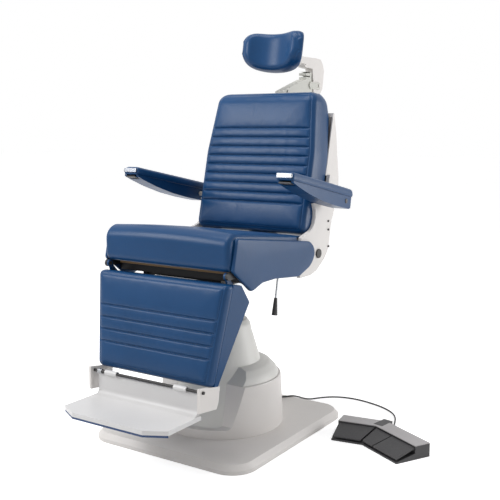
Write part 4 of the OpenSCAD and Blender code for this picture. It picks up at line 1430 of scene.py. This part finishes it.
@dataclass
class ArmUpholstery:
    """One arm's pad, on the sloping arm."""

    side: Side
    centre: Spot = (327, 270, 830)
    slope: float = 11.0
    length: float = 390.0
    rear: float = 42.0
    width: float = 74.0
    top: float = 44.0
    low: float = 18.7
    tip: float = 0.86
    tip_share: float = 1.6
    corner: Pair = (10, 7)
    roll: Pair = (12, 10)

    def half_at(self, y: np.ndarray) -> np.ndarray:
        """Half the width along the arm, narrower at the tip.

        Args:
            y: Places along the arm.

        Returns:
            Half the width at each.
        """
        share = np.minimum(1, (y + self.length) / (self.length + self.rear) * self.tip_share)
        corners = round_over(to_ends(y, -self.length, self.rear), *self.corner)
        return self.width / 2 * (self.tip + (1 - self.tip) * share) - corners

    def face_at(self, y: np.ndarray) -> np.ndarray:
        """The face's depth along the arm."""
        return round_over(to_ends(y, -self.length, self.rear), *self.roll) - self.top

    def to_chair(self, points: np.ndarray) -> np.ndarray:
        """Places points of the pad, which has its face down its own -Y."""
        local = points[:, [0, 2, 1]] * (1, 1, -1)
        return leaning(self.centre, self.slope)(local) * (self.side.value, 1, 1)

    def build(self) -> Piece:
        """Makes the pad.

        Returns:
            The pad.
        """
        word = self.side.word
        return BoxedCushion(
            f"arm_pad_cover_{word}", f"arm_pad_{word}", f"arm_{word}", -self.length, self.rear,
            self.half_at, self.face_at, lambda y: np.full_like(y, -self.low), self.to_chair,
            FabricFill(1.2), edge=11, edge_drop=10, crown=2.5, fullness=0.8, wall_bulge=1,
            rear_edge=3,
        ).make()


@dataclass
class PivotButton:
    """The domed button that covers an arm's pivot on its outer face.

    Its rings are pairs: a share of its rise and a share of its radius.
    """

    side: Side
    pivot: Pair = (270, 830)
    face: float = 358.8
    radius: float = 9.0
    rise: float = 3.0
    sides: int = 32
    rings: tuple[Pair, ...] = (
        (0, 1), (0.35, 1), (0.6, 0.93), (0.82, 0.75), (0.95, 0.45), (1, 0.12),
    )

    def build(self) -> Piece:
        """Makes the button.

        Returns:
            The button.
        """
        turn = angles(self.sides)
        circle = np.column_stack([np.cos(turn), np.sin(turn)]) * self.radius
        rings = []
        for share, reach in self.rings:
            x = self.side.value * (self.face + self.rise * share)
            rings.append(upright(x, np.array(self.pivot) + circle * reach))
        kit = MeshKit()
        kit.loft(np.array(rings))
        word = self.side.word
        return kit.build(f"arm_button_{word}", DARK_PLASTIC, f"arm_{word}")


@dataclass
class SeatCushion:
    """The seat's cushion: a rolled front edge, a crowned top and a notch for the back.

    Each lip and roll is a pair of radii, along Y and Z.
    """

    body: str = "seat"
    half: float = 258.0
    narrow: float = 236.0
    notch: float = 92.0
    front: float = -327.0
    rear: float = 168.0
    top: float = 762.0
    roll: float = 60.0
    slope: float = 7.5
    pan: float = 641.4
    crown: float = 8.0
    bow: float = 3.0
    bow_reach: float = 80.0
    edge: float = 17.0
    edge_steps: int = 7
    front_lip: Pair = (26, 24)
    front_roll: Pair = (52, 44)
    rear_roll: Pair = (18, 18)
    rear_lip: Pair = (8, 8)
    top_marks: tuple[float, ...] = (-200, -100, 0, 100)
    crown_span: Pair = (40, 100)
    notch_steps: tuple[float, ...] = (1.5, -0.5)
    notch_gap: float = 5.0
    notch_room: float = 2.0
    notch_height: float = 120.0
    steps: int = 231
    middle_steps: int = 48

    def top_at(self, y: float) -> float:
        """The top's height at a depth."""
        return self.top - (y - self.front - self.roll) * math.tan(math.radians(self.slope))

    def profile(self) -> np.ndarray:
        """Draws the seat's outline seen from its side.

        Returns:
            Even steps round it, each a Y and a Z.
        """
        rear = self.rear - self.rear_roll[0]
        low = (self.front + self.front_lip[0], self.pan + self.front_lip[1])
        high = (self.front + self.front_roll[0], self.top - self.front_roll[1])
        back = (rear, self.top_at(rear) - self.rear_roll[1])
        foot = (self.rear - self.rear_lip[0], self.pan + self.rear_lip[1])
        marks = [
            arc(low, self.front_lip, 270, 180), arc(high, self.front_roll, 180, 98),
            [(y, self.top_at(y)) for y in self.top_marks],
            arc(back, self.rear_roll, 82, 0), arc(foot, self.rear_lip, 0, -90),
        ]
        return even_steps(np.vstack(marks), self.steps)

    def places(self) -> np.ndarray:
        """Chooses where across the seat it has an outline.

        Returns:
            Places from one side to the other, closer at the edges and the notch.
        """
        rims = self.half - self.edge * quarter(self.edge_steps)
        notch = [self.narrow + step for step in self.notch_steps]
        middle = np.linspace(self.narrow - self.notch_gap, 0, self.middle_steps)
        spots = np.unique(np.round(np.concatenate([rims, notch, middle]), 3))
        return np.concatenate([-spots[::-1], spots[1:]])

    def build(self) -> Piece:
        """Makes the cushion.

        Returns:
            The cushion.
        """
        outline = self.profile()
        y, z = outline.T
        middle = np.array([self.front + self.rear, self.top + self.pan]) / 2
        reach = np.array([self.rear - self.front, self.top - self.pan]) / 2
        start, end = self.crown_span
        lift = np.clip((z - self.pan - start) / (end - start), 0, 1)
        forward = np.clip((self.front + self.bow_reach - y) / self.bow_reach, 0, 1)
        limit = self.notch - self.notch_room * (1 - (z - self.pan) / self.notch_height)
        rings = []
        for x in self.places():
            inset = round_over(self.half - abs(x), self.edge, self.edge)
            ring = middle + (outline - middle) * (1 - inset / reach)
            bow = 1 - (x / self.half) ** 2
            ring[:, 1] += self.crown * lift * bow
            ring[:, 0] -= self.bow * bow * forward
            if abs(x) > self.narrow:
                ring[:, 0] = np.minimum(ring[:, 0], limit)
            rings.append(upright(x, ring))
        kit = MeshKit()
        kit.loft(np.array(rings))
        return padded(kit.build("seat_cushion_cover", VINYL, self.body), "seat_cushion", 0.75)


@dataclass
class SidePanel:
    """One boxed side of the seat, a shallow pad with rounded edges.

    Its levels are pairs: how far in from its outline, and a share of its thickness.
    """

    side: Side
    body: str = "seat"
    inner: float = 258.4
    outer: float = 270.0
    corner: Pair = (-317, 560)
    size: Pair = (525, 190)
    shares: tuple[Pair, ...] = (
        (0.046, 0.995), (0, 0.458), (0.204, 0.037), (0.23, 0.05), (0.33, 0.137),
        (0.484, 0.142), (0.785, 0.058), (0.93, 0.19), (0.975, 0.29), (0.998, 0.4),
        (1, 0.46), (0.985, 0.56), (0.933, 0.674),
    )
    spine_low: Pair = (-225, 640)
    spine_high: Pair = (130, 665)
    levels: tuple[Pair, ...] = (
        (0.0, 0.0), (0.0, 0.45), (0.6, 0.7), (2.0, 0.88), (4.5, 0.97), (8.0, 1.0),
    )
    face_shares: tuple[float, ...] = (0.15, 0.3, 0.5, 0.7, 0.88, 1.0)
    puff: float = 2.2
    steps: int = 220
    easing: int = 3

    def outline(self) -> np.ndarray:
        """Draws the panel's outline, with its corners a little rounded.

        Returns:
            Even steps round it, each a Y and a Z.
        """
        line = even_steps(np.array(self.corner) + np.array(self.shares) * self.size, self.steps)
        for _ in range(self.easing):
            line = (np.roll(line, 1, axis=0) + 2 * line + np.roll(line, -1, axis=0)) / 4
        return line

    def build(self) -> Piece:
        """Makes the panel.

        Returns:
            The panel.
        """
        outline = self.outline()
        inward = np.clip(outline, self.spine_low, self.spine_high) - outline
        reach = np.linalg.norm(inward, axis=1)[:, None]
        inward /= reach
        levels = [(inset, self.inner + (self.outer - self.inner) * height)
                  for inset, height in self.levels]
        rim = self.levels[-1][0]
        for share in self.face_shares:
            puff = self.puff * (1 - (1 - share) ** 2)
            levels.append((rim + (reach - rim) * share, self.outer + puff))
        kit = MeshKit()
        kit.loft(np.array([upright(self.side.value * x, outline + inward * inset)
                           for inset, x in levels]))
        word = self.side.word
        piece = kit.build(f"side_panel_cover_{word}", VINYL, self.body)
        return padded(piece, f"side_panel_{word}", 0.6)


@dataclass
class HardParts:
    """The chair's rigid parts: each solid gets its finish and softly broken edges."""

    frame: dict
    edge: float = 0.9
    edge_angle: float = 28.0
    segments: int = 3
    weld: float = 1e-5

    def dress(self) -> None:
        """Gives every rigid part its finish."""
        nodes = self.frame["nodes"]
        for finish, names in PARTS_BY_FINISH.items():
            for name in names:
                part = nodes[name]
                part.data.materials.clear()
                part.data.materials.append(finish.material())
                self.soften(part, name)
            LOG.info("dressed %s in %s", ", ".join(names), finish.slot.value)

    def soften(self, part: Piece, name: str) -> None:
        """Breaks a part's sharp edges.

        Args:
            part: The part.
            name: Its name.
        """
        wide = [width for width, names in WIDE_EDGES.items() if name in names]
        weld = part.modifiers.new("weld", "WELD")
        weld.merge_threshold = self.weld
        bevel = part.modifiers.new("edge", "BEVEL")
        bevel.width = (wide[0] if wide else self.edge) * MM
        bevel.segments = self.segments
        bevel.limit_method = "ANGLE"
        bevel.angle_limit = math.radians(self.edge_angle)
        bevel.miter_outer = "MITER_ARC"
        even = part.modifiers.new("even", "WEIGHTED_NORMAL")
        even.keep_sharp = True


def body_of_node(frame: dict, node: str) -> str:
    """Finds the body that carries a node."""
    bodies = frame["record"]["behaviour"]["bodies"]
    return next(body for body, members in bodies.items() if node in members)


def corners(box: tuple[Iterable[float], Iterable[float]]) -> list[list[float]]:
    """A box's two corners as plain lists."""
    return [list(map(float, corner)) for corner in box]


def main() -> None:
    """Builds the chair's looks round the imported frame."""
    logging.basicConfig(level=logging.INFO, format="%(message)s")
    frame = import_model()
    solid_box = corners(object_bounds())
    studio = Studio()
    studio.camera()
    FootCord().build()
    studio.build()
    SeatCushion().build()
    for side in Side:
        SidePanel(side).build()
    BackUpholstery().build()
    LegUpholstery().build()
    HeadUpholstery().build()
    for side in Side:
        ArmUpholstery(side).build()
        PivotButton(side).build()
    TraySpring(body_of_node(frame, "tray_spring")).build()
    HardParts(frame).dress()
    bpy.context.view_layer.update()
    {"cad": solid_box, "visual": corners(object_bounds())}


if __name__ == "__main__":
    main()
